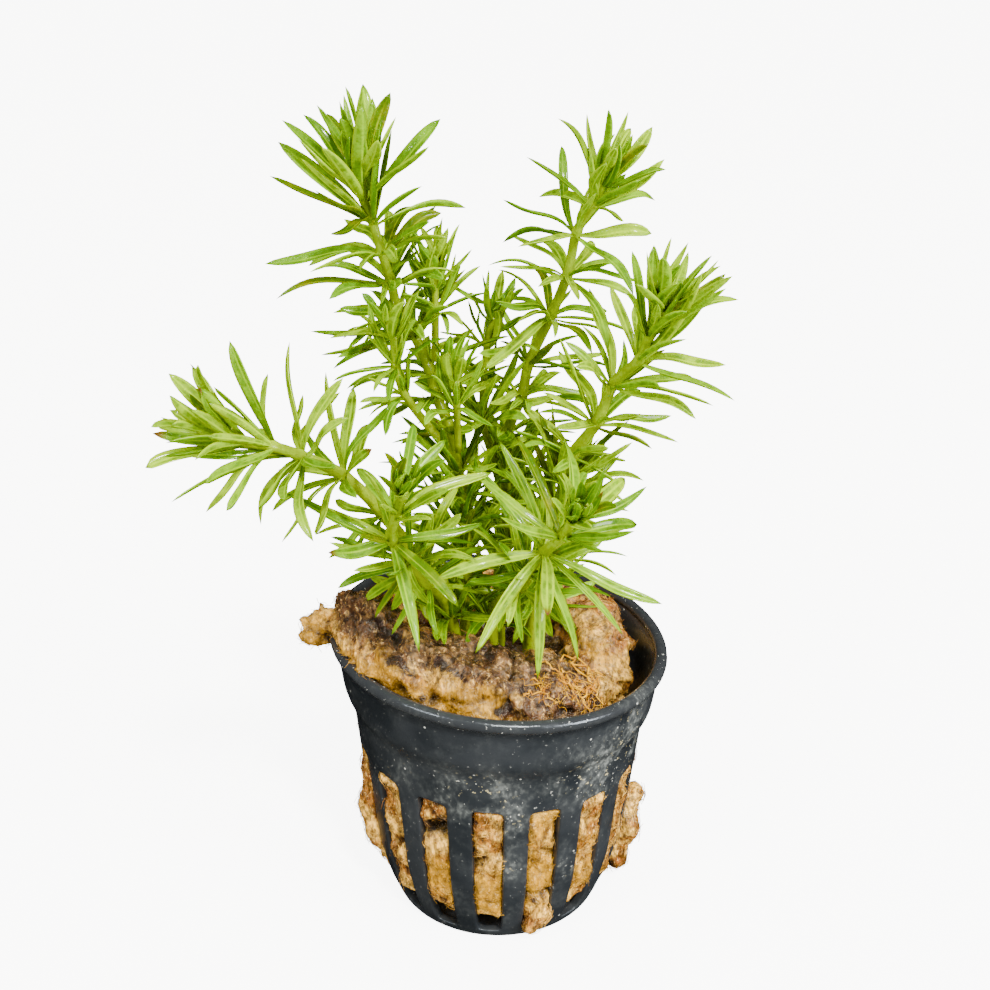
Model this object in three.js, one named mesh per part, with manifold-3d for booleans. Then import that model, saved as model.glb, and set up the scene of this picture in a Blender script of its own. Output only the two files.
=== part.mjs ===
// A bushy aquarium stem plant in its slotted net pot, packed with brown mineral wool.
// Millimetres, +Z up, origin at the centre of the pot's flat base. -Y is the side seen first.
import * as THREE from 'three';
import { mergeVertices } from 'three/addons/utils/BufferGeometryUtils.js';
import Module from 'manifold-3d';

const wasm = await Module();
wasm.setup();

// Driving dimensions of the pot
const potHeight = 44;
const wall = 1.3;
const rimRadius = 25;
const beadRadius = 0.95;
const slotCount = 16;
const slotWidthDeg = 12.4;
const slotPhaseDeg = -3.7;
const slotBottom = 1.6;
const slotTop = 26.6;
const floorThickness = 1.4;
const drainCount = 8;
const drainWidthDeg = 10.1;
const drainReach = [6, 13];
const leanDeg = 4.5;
const gap = 0.4;

// Driving dimensions of the plant
const leavesPerWhorl = 5;
const leafHalfWidth = 0.8;
const leafKeel = 0.26;
const leafArch = 0.14;
const leafArchFade = 1.3;
const leafless = 50;
const uprightRise = 0.72;
const uprightLength = 12;
const leafRoot = 0.7;
const leafMiddle = 0.45;
const leafCrowding = 1.1;
const whorlRise = [0.1, 0.85];
const archRange = [-0.2, 1.2];

const colours = {
  pot: 0x2b3034,
  wool: 0xa8814e,
  leaf: 0x86bf12,
  root: 0xd98a24,
};

const vec = (p) => new THREE.Vector3(...p);

// The soft plastic pot has sagged: its rim stands higher at the left than at the right.
function lean(geometry) {
  const spot = geometry.attributes.position;
  for (let i = 0; i < spot.count; i += 1) {
    const share = spot.getZ(i) / potHeight;
    const drop = Math.tan(THREE.MathUtils.degToRad(leanDeg)) * spot.getX(i) * Math.min(share, 1);
    spot.setZ(i, spot.getZ(i) - drop);
  }
  return geometry;
}

function solid(geometry) {
  const bare = geometry.clone();
  bare.deleteAttribute('normal');
  bare.deleteAttribute('uv');
  const merged = mergeVertices(bare, 1e-4);
  return new wasm.Manifold(new wasm.Mesh({
    numProp: 3,
    vertProperties: new Float32Array(merged.attributes.position.array),
    triVerts: new Uint32Array(merged.index.array),
  }));
}

function geometryOf(body) {
  const mesh = body.getMesh();
  const geometry = new THREE.BufferGeometry();
  geometry.setAttribute('position', new THREE.BufferAttribute(mesh.vertProperties, 3));
  geometry.setIndex(new THREE.BufferAttribute(mesh.triVerts, 1));
  return geometry;
}

// Lays a cone, cylinder or sphere that stands one unit high on Y along a path.
// section(t) gives its size across and through at the share t of the path.
function sweep(shape, pathAt, tangentAt, across, section) {
  const spot = shape.attributes.position;
  for (let i = 0; i < spot.count; i += 1) {
    const t = THREE.MathUtils.clamp(spot.getY(i) + 0.5, 0, 1);
    const tangent = tangentAt(t).normalize();
    const side = across(tangent).normalize();
    const through = new THREE.Vector3().crossVectors(side, tangent);
    const [wide, thick] = section(t);
    const point = pathAt(t);
    point.addScaledVector(side, spot.getX(i) * wide);
    point.addScaledVector(through, spot.getZ(i) * thick);
    spot.setXYZ(i, point.x, point.y, point.z);
  }
  return shape;
}

// The pot's outline from the centre of the floor up the outside and down the inside.
// grow thickens it all round, for cutting clearance out of the wool.
function potProfile(grow) {
  const outside = [[16.1, 0], [18.1, 5], [19.8, 12], [21.9, 32.8], [23.2, 35.4]];
  const cornerRadius = 16.4;
  const beadCentre = [rimRadius - beadRadius, potHeight - beadRadius];
  const bead = [];
  for (let step = 0; step <= 4; step += 1) {
    const turn = THREE.MathUtils.degToRad(-60 + step * 65);
    const reach = beadRadius + grow;
    bead.push([beadCentre[0] + reach * Math.cos(turn), beadCentre[1] + reach * Math.sin(turn)]);
  }
  const inside = [];
  for (const [radius, height] of outside.slice(1).reverse()) {
    inside.push([radius - wall - grow, height]);
  }
  const outline = [[0, -grow]];
  for (const [radius, height] of outside) {
    outline.push([radius + grow, height === 0 ? -grow : height]);
  }
  outline.push(...bead, ...inside);
  outline.push([cornerRadius - wall - grow, floorThickness + grow], [0, floorThickness + grow]);
  return outline.map(([radius, height]) => new THREE.Vector2(radius, height));
}

function wedge(inner, outer, halfDeg, turnDeg, low, high) {
  const half = THREE.MathUtils.degToRad(halfDeg);
  const shape = new THREE.Shape([
    new THREE.Vector2(-inner * Math.tan(half), -inner),
    new THREE.Vector2(-outer * Math.tan(half), -outer),
    new THREE.Vector2(outer * Math.tan(half), -outer),
    new THREE.Vector2(inner * Math.tan(half), -inner),
  ]);
  const prism = new THREE.ExtrudeGeometry(shape, { depth: high - low, bevelEnabled: false });
  prism.translate(0, 0, low);
  prism.rotateZ(THREE.MathUtils.degToRad(turnDeg));
  return prism;
}

function potSolid(grow) {
  const turned = new THREE.LatheGeometry(potProfile(grow), 2 * slotCount);
  turned.rotateX(Math.PI / 2);
  turned.rotateZ(THREE.MathUtils.degToRad(slotPhaseDeg));
  let body = solid(turned);
  const slotPitchDeg = 360 / slotCount;
  const wallMiddle = 20;
  const cutDepth = 8;
  const halfDeg = slotWidthDeg / 2 - THREE.MathUtils.radToDeg(grow / wallMiddle);
  for (let k = 0; k < slotCount; k += 1) {
    const turn = slotPhaseDeg + k * slotPitchDeg;
    const [low, high] = [slotBottom + grow, slotTop - grow];
    const cutter = wedge(wallMiddle - cutDepth, rimRadius + 1, halfDeg, turn, low, high);
    body = body.subtract(solid(cutter));
  }
  if (grow === 0) {
    for (let k = 0; k < drainCount; k += 1) {
      const turn = slotPhaseDeg + slotPitchDeg / 2 + k * 360 / drainCount;
      body = body.subtract(solid(wedge(...drainReach, drainWidthDeg / 2, turn, -1, floorThickness + 1)));
    }
  }
  return body;
}

// Mineral wool: lumps and rolls, pushed about by a slow wave so that no side is even.
function crumple(geometry, amount) {
  const spot = geometry.attributes.position;
  for (let i = 0; i < spot.count; i += 1) {
    const [x, y, z] = [spot.getX(i), spot.getY(i), spot.getZ(i)];
    spot.setXYZ(
      i,
      x + amount * Math.sin(0.55 * y + 0.9 * z),
      y + amount * Math.sin(0.62 * z + 0.8 * x),
      z + amount * Math.sin(0.58 * x + 0.85 * y),
    );
  }
  return geometry;
}

function roll(points, radius, around, along) {
  const path = new THREE.CatmullRomCurve3(points.map(vec), false, 'catmullrom', 0.5);
  const ball = new THREE.SphereGeometry(1, around, along);
  ball.scale(1, 0.5, 1);
  const spot = ball.attributes.position;
  for (let i = 0; i < spot.count; i += 1) {
    const level = Math.sqrt(Math.max(0, 1 - 4 * spot.getY(i) ** 2));
    const open = level > 0 ? Math.sqrt(level) / level : 0;
    spot.setX(i, spot.getX(i) * open);
    spot.setZ(i, spot.getZ(i) * open);
  }
  const up = new THREE.Vector3(0, 0, 1);
  return sweep(
    ball,
    (t) => path.getPoint(t),
    (t) => path.getTangent(t),
    (tangent) => new THREE.Vector3().crossVectors(tangent, up),
    () => [radius, radius],
  );
}

function lump(centre, size, turnDeg = 0) {
  const ball = new THREE.SphereGeometry(1, 8, 5);
  ball.scale(...size);
  ball.rotateY(THREE.MathUtils.degToRad(turnDeg));
  ball.translate(...centre);
  return ball;
}

// The plug fills the pot, and its foot hangs a little above the floor.
const plugOutline = [[0, 3.4], [13.6, 3.8], [15.6, 7], [17.1, 12.5], [18.9, 31], [17, 38.5], [0, 39]];

const partingDeg = -12;
const plugTop = 30;
const plugWave = 0.4;
const rollWave = 0.6;
const lumpWave = 0.4;
const socketRadius = 1.6;
const rootRadius = 0.45;

const frontRoll = {
  points: [[-20, -4, 45], [-15, -10, 43], [-8, -13, 42], [0, -14.4, 41], [8, -14, 40], [15, -11, 38.5]],
  radius: 6.9,
};
const backRoll = {
  points: [[-17, 8, 39], [-9, 14, 39], [0, 15.5, 39], [8, 14, 40], [14, 8, 40], [15, 0, 39], [14, -6, 36]],
  radius: 5.6,
};

function halfPlug(side, grow = 0) {
  const outline = plugOutline.map(([radius, height]) => {
    const lift = height > plugTop ? grow : -grow;
    return new THREE.Vector2(radius > 0 ? radius + grow : 0, height + lift);
  });
  const plug = new THREE.LatheGeometry(outline, 20);
  plug.rotateX(Math.PI / 2);
  const reach = 30;
  const keep = new THREE.BoxGeometry(2 * reach, reach, 2 * reach);
  keep.translate(0, side * (reach / 2 + gap / 2 - grow), reach);
  keep.rotateZ(THREE.MathUtils.degToRad(partingDeg));
  return solid(crumple(plug, plugWave)).intersect(solid(keep));
}

const rootStrands = [
  [[6, -12, 49], [9, -15, 48.4], [10, -18, 46.4], [11.4, -19.2, 44.4]],
  [[9, -15, 48.4], [13, -15, 46.8], [16, -13.6, 45]],
  [[8, -14, 48.8], [12, -12, 48], [16, -9, 46]],
  [[9, -15, 48.4], [5, -18, 47], [3, -20, 45.4]],
];

function strand(points, radius) {
  const path = new THREE.CatmullRomCurve3(points.map(vec), false, 'catmullrom', 0.5);
  const rod = new THREE.CylinderGeometry(1, 1, 1, 4, points.length);
  const up = new THREE.Vector3(0, 0, 1);
  return sweep(
    rod,
    (t) => path.getPoint(t),
    (t) => path.getTangent(t),
    (tangent) => new THREE.Vector3().crossVectors(tangent, up),
    () => [radius, radius],
  );
}

function rootSolid(grow) {
  return rootStrands
    .map((points) => solid(strand(points, rootRadius + grow)))
    .reduce((all, one) => all.add(one));
}

// Each joint of a stem: where it sits, then how far its leaves' tips lie to the right, away and up.
const joint = (at, ...tips) => ({ at, tips });

const shoots = {
  shoot_tall_left: {
    bare: 2,
    stem: [1.15, 0.65],
    joints: [
      joint([-4, 1, 30]),
      joint([-5, 1, 46]),
      joint([-5, 2, 52], [-6, -8, -2], [-8, -3, -4], [-15, -3, 0]),
      joint([-5, 3, 60]),
      joint([-6, 3, 68]),
      joint([-7, 3, 74], [-4, -7, 4], [6, 6, -1]),
      joint([-9, 4, 79], [-8, 7, -6], [8, 10, -3]),
      joint([-10, 4, 83], [-12, 3, -4], [6, 10, 3]),
      joint([-12, 4, 88], [-14, -2, 1], [-11, -3, -4], [-13, 0, -3]),
      joint([-14, 4, 91], [-10, 7, -2], [-8, -1, 1], [-6, -10, -2], [4, -9, -1]),
      joint([-15, 3, 96], [-15, -3, -2], [-7, -10, 0], [4, 11, 6], [2, -8, 1]),
      joint([-16, 2, 100], [-15, -3, -1], [-8, -11, 0], [-11, 8, -4], [7, -9, 6], [8, 1, 5], [0, 12, 3]),
      joint([-17, 2, 104], [-13, -1, 6], [-12, 1, 10], [-6, -10, 6], [-4, -12, 1], [12, 9, 0], [7, -7, 6]),
      joint([-18, 1, 107], [-10, 0, 10], [-8, 5, 10], [-4, -8, 8], [10, 2, 10], [9, -7, 8]),
      joint([-18, 0, 110], [-1, -6, 12], [1, -5, 12], [0, 5, 11], [-5, 7, 7], [3, -8, 6], [-2, -4, 8]),
    ],
  },
  shoot_back_right: {
    bare: 2,
    stem: [1, 0.6],
    joints: [
      joint([0, 4, 30]),
      joint([0, 4, 45]),
      joint([1, 6, 56]),
      joint([1, 7, 66]),
      joint([1, 8, 72], [5, -10, 4], [-6, 10, 1]),
      joint([3, 8, 78], [-8, 10, 2], [6, 10, 0]),
      joint([4, 8, 83], [3, -10, 6], [-7, -9, 4], [-4, 10, 5]),
      joint([7, 8, 90], [-8, -10, -6], [-7, 10, -1], [-3, 11, 4], [5, -12, -2], [-5, -11, 2]),
      joint([9, 7, 96], [-11, 0, 1], [-4, 11, 2], [4, 11, 2], [5, -10, 4], [5, -12, -7], [1, -10, -1]),
      joint([10, 6, 102], [-2, 8, 10], [-10, 1, 4], [-8, -9, 0], [-10, 6, -3], [10, -1, 0], [7, -10, -6]),
      joint([12, 4, 106], [9, 0, 6], [5, -9, 5], [9, 8, -1], [-9, 1, 6], [3, -10, 0], [-7, 10, -1]),
      joint(
        [13, 3, 109], [-6, 1, 8], [-2, 6, 8], [0, -5, 10], [3, 1, 9], [4, 7, 6], [5, -6, 6], [8, -1, 2],
      ),
    ],
  },
  shoot_right: {
    bare: 2,
    stem: [1, 0.6],
    joints: [
      joint([4, 0, 30]),
      joint([5, 0, 48]),
      joint([7, 0, 56], [-4, -7, -11], [4, -9, -7]),
      joint([8, -1, 64]),
      joint([10, -2, 73], [4, -10, 5], [6, 0, 0], [8, 7, -4], [-5, 10, -2]),
      joint([13, -3, 78], [5, -10, 5], [11, -2, -2], [-6, -10, 3], [-8, 1, 1], [-6, 2, 11], [-5, 10, 7]),
      joint([15, -4, 84], [13, -3, -2], [5, -10, 3], [10, -8, -2], [-5, 2, 7], [-3, 11, 10], [2, 10, 3]),
      joint([18, -6, 88], [11, -2, 0], [11, -10, -2], [-4, 3, 9], [1, 11, 5]),
      joint([19, -8, 92], [9, 0, 8], [8, -7, 8], [12, 6, 3], [-4, -6, 7]),
      joint([20, -10, 96], [-1, -6, 8], [3, 1, 7], [5, -5, 8], [8, 6, 4], [-4, -7, 5]),
    ],
  },
  shoot_low_left: {
    bare: 2,
    stem: [1, 0.6],
    joints: [
      joint([-8, -1, 30]),
      joint([-9, -3, 48]),
      joint([-11, -4, 56], [4, -7, -7]),
      joint([-16, -7, 66], [-4, -10, -2], [5, 10, 2]),
      joint([-21, -10, 73], [-2, 4, 13], [1, 9, 9], [4, 11, 3], [5, -8, 7], [-2, -12, -3]),
      joint(
        [-26, -13, 77], [-1, 4, 14], [-1, 12, 4], [4, 13, 4],
        [-5, -4, -6], [3, -11, -7], [0, -12, -1], [-6, 2, -11],
      ),
      joint(
        [-29, -15, 79], [-5, 3, 13], [-2, 11, 6], [-8, -5, -7], [-4, -11, -4], [-10, -13, -2], [-6, -12, 0],
      ),
      joint([-32, -16, 80], [-8, 7, 8], [-12, -4, -2], [-4, -11, 2], [-8, -8, 3]),
      joint([-34, -17, 82], [-7, 1, 7], [-5, -7, 7], [-10, 4, -1], [-8, -1, 2], [-6, 6, 3]),
    ],
  },
  shoot_front_left: {
    bare: 2,
    stem: [0.95, 0.6],
    joints: [
      joint([-5, -5, 30]),
      joint([-7, -5, 49]),
      joint([-10, -10, 57], [2, -8, -4]),
      joint([-12, -13, 62]),
      joint(
        [-14, -17, 67], [-8, -2, -1], [-10, 6, 2], [-5, 5, -10], [4, -10, -11],
        [9, -9, -5], [12, 1, 2], [-12, 8, 7], [11, 5, -3],
      ),
      joint([-13, -20, 72], [12, 4, 4], [6, 8, 7], [-6, 10, 2], [5, -10, 4]),
      joint([-12, -23, 76], [1, 9, 6], [-1, 9, 2], [1, 9, 0], [2, -4, 4]),
    ],
  },
  shoot_front_right: {
    bare: 2,
    stem: [0.95, 0.6],
    joints: [
      joint([0, -4, 30]),
      joint([-1, -4, 48]),
      joint([3, -9, 56], [-3, -11, -1], [0, -12, -2], [4, -12, -1], [7, -11, -1], [-8, -6, 3]),
      joint([4, -12, 60]),
      joint(
        [6, -16, 65], [-15, -2, -1], [-9, -11, -9], [0, -12, -3], [-1, -9, -14],
        [4, -11, -10], [10, -6, -9], [15, -5, -5], [-4, 10, 12], [-6, 9, 8], [-10, 10, 8], [-1, 9, 8],
      ),
      joint([8, -20, 69], [10, 6, -1], [-11, 7, 5], [-6, 9, 10], [-8, -7, 6]),
      joint([9, -23, 73], [9, 1, 4], [7, 8, 2], [-1, 12, 6], [2, 8, 3], [2, -5, 1], [-3, -5, 5]),
    ],
  },
};

// Side shoots start beside the stem that they grow from, in its own leaf joint.
const sideShoots = {
  side_shoot_upper: {
    bare: 1,
    stem: [0.5, 0.4],
    joints: [
      joint([-9.1, 3.3, 84.5]),
      joint([-9, 3, 92], [7, 1, 2], [-4, -7, 4], [2, -9, -1], [4, -8, 0]),
      joint([-9, 3, 95], [7, 6, -4], [-4, 6, 4], [5, 1, 5], [3, -3, 8], [-4, -6, 2]),
      joint([-9, 3, 97], [0, 6, 5], [2, -4, 7], [1, 2, 7], [-2, -4, 5]),
    ],
  },
  side_shoot_front: {
    bare: 2,
    stem: [0.6, 0.45],
    joints: [
      joint([-7.9, 1.2, 73]),
      joint([-10.5, -0.5, 77]),
      joint([-13, -3, 82], [-6, -1, -1], [-2, -8, -3], [-5, 6, -4]),
      joint([-14, -5, 87], [-8, -2, -2], [7, 1, 3], [-2, -9, -1], [0, -10, -2]),
      joint([-14, -6, 91], [-2, 7, 3], [3, 2, 5], [-9, 5, -2], [2, -5, 6]),
    ],
  },
  side_shoot_thin: {
    bare: 1,
    stem: [0.5, 0.4],
    joints: [
      joint([-0.7, 7.3, 68]),
      joint([-2.6, 6, 75]),
      joint([-2, 6, 86], [-5, 1, 4], [-7, 6, 0], [5, 1, 4], [7, -6, 1]),
      joint([-1, 6, 90], [1, 6, 5], [-1, -6, 6], [3, 1, 4], [-4, -4, 4]),
    ],
  },
  side_shoot_middle: {
    bare: 1,
    stem: [0.5, 0.4],
    joints: [
      joint([-5.9, 1.1, 72]),
      joint([-6, -2, 80], [-6, 1, 3], [5, 8, 2], [-4, -8, 0], [5, -8, 0]),
      joint([-6, -3, 84], [-1, 7, 4], [2, -3, 7], [3, 1, 3], [-6, 6, -2]),
    ],
  },
};

function axisAt(joints, index) {
  const before = vec(joints[Math.max(0, index - 1)].at);
  const after = vec(joints[Math.min(joints.length - 1, index + 1)].at);
  return after.sub(before).normalize();
}

function stemSolid({ stem, joints }, grow = 0) {
  const rows = joints.length - 1;
  const rod = new THREE.CylinderGeometry(1, 1, 1, 6, rows);
  const away = new THREE.Vector3(0, 1, 0);
  const tube = sweep(
    rod,
    (t) => vec(joints[Math.round(t * rows)].at),
    (t) => axisAt(joints, Math.round(t * rows)),
    (tangent) => new THREE.Vector3().crossVectors(away, tangent),
    (t) => {
      const radius = THREE.MathUtils.lerp(stem[0], stem[1], t) + grow;
      return [radius, radius];
    },
  );
  return solid(tube);
}

// A whorl has at least five leaves. The ones listed are seen; the rest stand in the wide gaps between.
// A joint low in the bush that lists none has a whorl of upright leaves.
function whorl({ at, tips }, axis) {
  const east = new THREE.Vector3(0, 1, 0).cross(axis).normalize();
  const north = new THREE.Vector3().crossVectors(axis, east);
  if (tips.length === 0) {
    const spread = Math.sqrt(1 - uprightRise ** 2);
    return Array.from({ length: leavesPerWhorl }, (_, k) => {
      const turn = 2 * Math.PI * (k / leavesPerWhorl) + at[2];
      const tip = axis.clone().multiplyScalar(uprightRise);
      tip.addScaledVector(east, Math.cos(turn) * spread);
      tip.addScaledVector(north, Math.sin(turn) * spread);
      return tip.multiplyScalar(uprightLength);
    });
  }
  const seen = tips.map(vec).map((tip) => ({ tip, turn: Math.atan2(tip.dot(north), tip.dot(east)) }));
  seen.sort((a, b) => a.turn - b.turn);
  const length = seen.reduce((sum, leaf) => sum + leaf.tip.length(), 0) / seen.length;
  const meanRise = seen.reduce((sum, leaf) => sum + leaf.tip.dot(axis), 0) / seen.length / length;
  const rise = THREE.MathUtils.clamp(meanRise, ...whorlRise);
  const leaves = [];
  seen.forEach((leaf, i) => {
    leaves.push(leaf.tip);
    const next = i + 1 < seen.length ? seen[i + 1].turn : seen[0].turn + 2 * Math.PI;
    const space = next - leaf.turn;
    const hidden = Math.round(space * leavesPerWhorl / (2 * Math.PI)) - 1;
    for (let k = 1; k <= hidden; k += 1) {
      const turn = leaf.turn + space * k / (hidden + 1);
      const tip = new THREE.Vector3();
      const out = Math.sqrt(1 - rise * rise) * length;
      tip.addScaledVector(east, Math.cos(turn) * out);
      tip.addScaledVector(north, Math.sin(turn) * out);
      tip.addScaledVector(axis, rise * length);
      leaves.push(tip);
    }
  });
  return leaves;
}

// A leaf starts inside the stem. One that stands out or hangs arches over, and an upright one is straight.
function leafPath(place, tip, axis) {
  const root = place.clone().addScaledVector(axis, -leafRoot);
  const rise = tip.dot(axis) / tip.length();
  const arch = leafArch * THREE.MathUtils.clamp(1 - leafArchFade * rise, ...archRange);
  const middle = place.clone().addScaledVector(tip, leafMiddle).addScaledVector(axis, arch * tip.length());
  return new THREE.QuadraticBezierCurve3(root, middle, place.clone().add(tip));
}

function leafSolid(path, axis) {
  const blade = new THREE.SphereGeometry(1, 3, 2);
  blade.scale(1, 0.5, 1);
  const share = (t) => t ** leafCrowding;
  return solid(sweep(
    blade,
    (t) => path.getPoint(share(t)),
    (t) => path.getTangent(share(t)),
    (tangent) => new THREE.Vector3().crossVectors(axis, tangent),
    () => [leafHalfWidth / Math.sin(Math.PI / 3), leafKeel],
  ));
}

// Leaves of one shoot keep clear of the others: one that would cross is turned about its stem,
// and where no turn helps it stays shorter or doesn't grow at all.
const taken = [];
const clearance = 1.35;
const stemClearance = 0.8;
const rollClearance = 1;
const turnsDeg = [0, 9, -9, 18, -18, 27, -27, 36, -36];
const shares = [1, 0.85, 0.7, 0.55];

function claim(points, radius, owner) {
  for (const point of points) {
    taken.push({ point, radius, owner });
  }
}

function isClear(points, owner) {
  return points.every((point) => taken.every(
    (other) => other.owner === owner || point.distanceTo(other.point) > other.radius,
  ));
}

function fitLeaf(base, tip, axis, owner) {
  for (const share of shares) {
    for (const turnDeg of turnsDeg) {
      const turned = tip.clone().multiplyScalar(share);
      turned.applyAxisAngle(axis, THREE.MathUtils.degToRad(turnDeg));
      const path = leafPath(base, turned, axis);
      const points = path.getPoints(14);
      if (isClear(points, owner)) {
        claim(points, clearance, owner);
        return path;
      }
    }
  }
  return null;
}

function claimStem({ stem, joints }, owner) {
  for (let i = 0; i + 1 < joints.length; i += 1) {
    const line = new THREE.LineCurve3(vec(joints[i].at), vec(joints[i + 1].at));
    claim(line.getPoints(8), stem[0] + stemClearance, owner);
  }
}

function claimRoll({ points, radius }, owner) {
  const path = new THREE.CatmullRomCurve3(points.map(vec), false, 'catmullrom', 0.5);
  claim(path.getPoints(24), radius + rollClearance, owner);
}

function shootSolid(shoot, owner) {
  let body = stemSolid(shoot);
  shoot.joints.forEach((here, index) => {
    if (here.tips.length === 0 && (here.at[2] < leafless || index < shoot.bare)) {
      return;
    }
    const axis = axisAt(shoot.joints, index);
    for (const tip of whorl(here, axis)) {
      const path = fitLeaf(vec(here.at), tip, axis, owner);
      if (path) {
        body = body.add(leafSolid(path, axis));
      }
    }
  });
  return body;
}

function named(name, geometry, colour, roughness) {
  const material = new THREE.MeshStandardMaterial({ color: colour, roughness, metalness: 0 });
  const mesh = new THREE.Mesh(geometry, material);
  mesh.name = name;
  return mesh;
}

const plant = new THREE.Group();
plant.add(named('net_pot', lean(geometryOf(potSolid(0))), colours.pot, 0.45));

// The wool strip is folded round the stems: a front half and a back half, with torn bits
// that hang over the rim and stick out through the slots.
function socket({ joints }) {
  const [foot, collar] = joints;
  const below = joint([foot.at[0], foot.at[1], foot.at[2] - 2 * gap]);
  return stemSolid({ stem: [socketRadius, socketRadius], joints: [below, foot, collar] });
}
const sockets = Object.values(shoots)
  .map(socket)
  .reduce((all, one) => all.add(one));
const potClearance = potSolid(gap);

const torn = {
  tuftOverRim: [[-24.4, -3.4, 44.7], [5, 3.2, 2.7]],
  bulgeAtLeft: [[-17, -5.7, 16.5], [4.2, 3.4, 9.5]],
  chunkInFront: [[5.8, -15.8, 5], [2.1, 3.2, 4]],
  flapAtRight: [[19.8, -1.6, 9.8], [2.4, 3.6, 8.6], 12],
  tongueOfFlap: [[18, -1.2, 11], [3.4, 1.5, 5]],
};
const tornLump = (name) => solid(crumple(lump(...torn[name]), lumpWave));

const frontWool = halfPlug(-1)
  .add(solid(crumple(roll(frontRoll.points, frontRoll.radius, 10, 12), rollWave)))
  .add(tornLump('tuftOverRim'))
  .add(tornLump('bulgeAtLeft'))
  .add(tornLump('chunkInFront'))
  .subtract(potClearance)
  .subtract(sockets)
  .subtract(rootSolid(gap));
const backWool = halfPlug(1)
  .add(solid(crumple(roll(backRoll.points, backRoll.radius, 9, 12), rollWave)))
  .add(tornLump('flapAtRight'))
  .add(tornLump('tongueOfFlap'))
  .subtract(potClearance)
  .subtract(sockets)
  .subtract(halfPlug(-1, gap))
  .subtract(solid(crumple(roll(frontRoll.points, frontRoll.radius + gap, 10, 12), rollWave)));

plant.add(named('wool_front', lean(geometryOf(frontWool)), colours.wool, 0.95));
plant.add(named('wool_back', lean(geometryOf(backWool)), colours.wool, 0.95));
plant.add(named('roots', lean(geometryOf(rootSolid(0))), colours.root, 0.6));

const allShoots = { ...sideShoots, ...shoots };
for (const [name, shoot] of Object.entries(allShoots)) {
  claimStem(shoot, name);
}
claimRoll(frontRoll, 'wool_front');
claimRoll(backRoll, 'wool_back');
for (const [name, shoot] of Object.entries(allShoots)) {
  plant.add(named(name, geometryOf(shootSolid(shoot, name)), colours.leaf, 0.35));
}

export default plant;
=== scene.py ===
import logging
import math
from dataclasses import dataclass, field
from enum import Enum
from typing import Any

import bmesh
import bpy
import numpy as np
from mathutils import Matrix, Vector, noise
from mathutils.bvhtree import BVHTree


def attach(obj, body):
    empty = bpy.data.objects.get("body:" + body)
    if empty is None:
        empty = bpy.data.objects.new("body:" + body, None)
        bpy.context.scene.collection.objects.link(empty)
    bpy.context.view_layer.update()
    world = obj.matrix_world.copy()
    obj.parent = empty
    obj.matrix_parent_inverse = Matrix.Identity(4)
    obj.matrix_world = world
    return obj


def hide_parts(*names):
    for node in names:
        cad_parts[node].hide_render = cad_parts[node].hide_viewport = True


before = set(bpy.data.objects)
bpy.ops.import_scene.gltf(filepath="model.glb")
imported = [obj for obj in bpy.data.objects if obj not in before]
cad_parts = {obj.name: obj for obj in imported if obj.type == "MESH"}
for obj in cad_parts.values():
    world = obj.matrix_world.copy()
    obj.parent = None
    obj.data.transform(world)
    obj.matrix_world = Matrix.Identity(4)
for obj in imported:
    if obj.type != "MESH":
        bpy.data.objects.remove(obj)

LOG = logging.getLogger("potted_plant")
MM = 0.001
Point = tuple[float, float, float]
Colour = tuple[float, float, float, float]
Faces = list[tuple[int, ...]]
Array = np.ndarray
Piece = bpy.types.Object
Mesh = bpy.types.Mesh
Material = bpy.types.Material
Node = bpy.types.Node
Socket = bpy.types.NodeSocket


class Slot(Enum):
    """The record's material slots."""

    POT = "pot_plastic"
    WOOL = "mineral_wool"
    LEAF = "foliage"
    ROOT = "root"


def unit(vectors: Array) -> Array:
    """Scales vectors to length one.

    Args:
        vectors: One vector, or an array with one in each row.

    Returns:
        The same directions, each one unit long.
    """
    size = np.linalg.norm(vectors, axis=-1, keepdims=True)
    return vectors / np.maximum(size, 1e-9)


def fade(values: Array, start: float, span: float) -> Array:
    """Grows from 0 to 1 over a span.

    Args:
        values: Where to read it.
        start: The value up to which it is 0.
        span: How much further on it is 1, negative where it grows the other way.

    Returns:
        A share from 0 to 1 for each value.
    """
    return np.clip((values - start) / span, 0, 1)


def catmull(points: Array, places: Array) -> Array:
    """Reads a smooth curve through points, rounded by their neighbours.

    Args:
        points: The points that the curve passes, one in each row.
        places: Where to read it, from 0 at the first point to 1 at the last.

    Returns:
        One position for each place.
    """
    last = len(points) - 1
    padded = np.vstack([2 * points[0] - points[1], points, 2 * points[-1] - points[-2]])
    scaled = np.clip(places, 0, 1) * last
    start = np.minimum(scaled.astype(int), last - 1)
    t = (scaled - start)[:, None]
    p0, p1, p2, p3 = (padded[start + k] for k in range(4))
    slope_in = 0.5 * (p2 - p0)
    slope_out = 0.5 * (p3 - p1)
    return (
        (2 * t**3 - 3 * t**2 + 1) * p1
        + (t**3 - 2 * t**2 + t) * slope_in
        + (-2 * t**3 + 3 * t**2) * p2
        + (t**3 - t**2) * slope_out
    )


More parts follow.
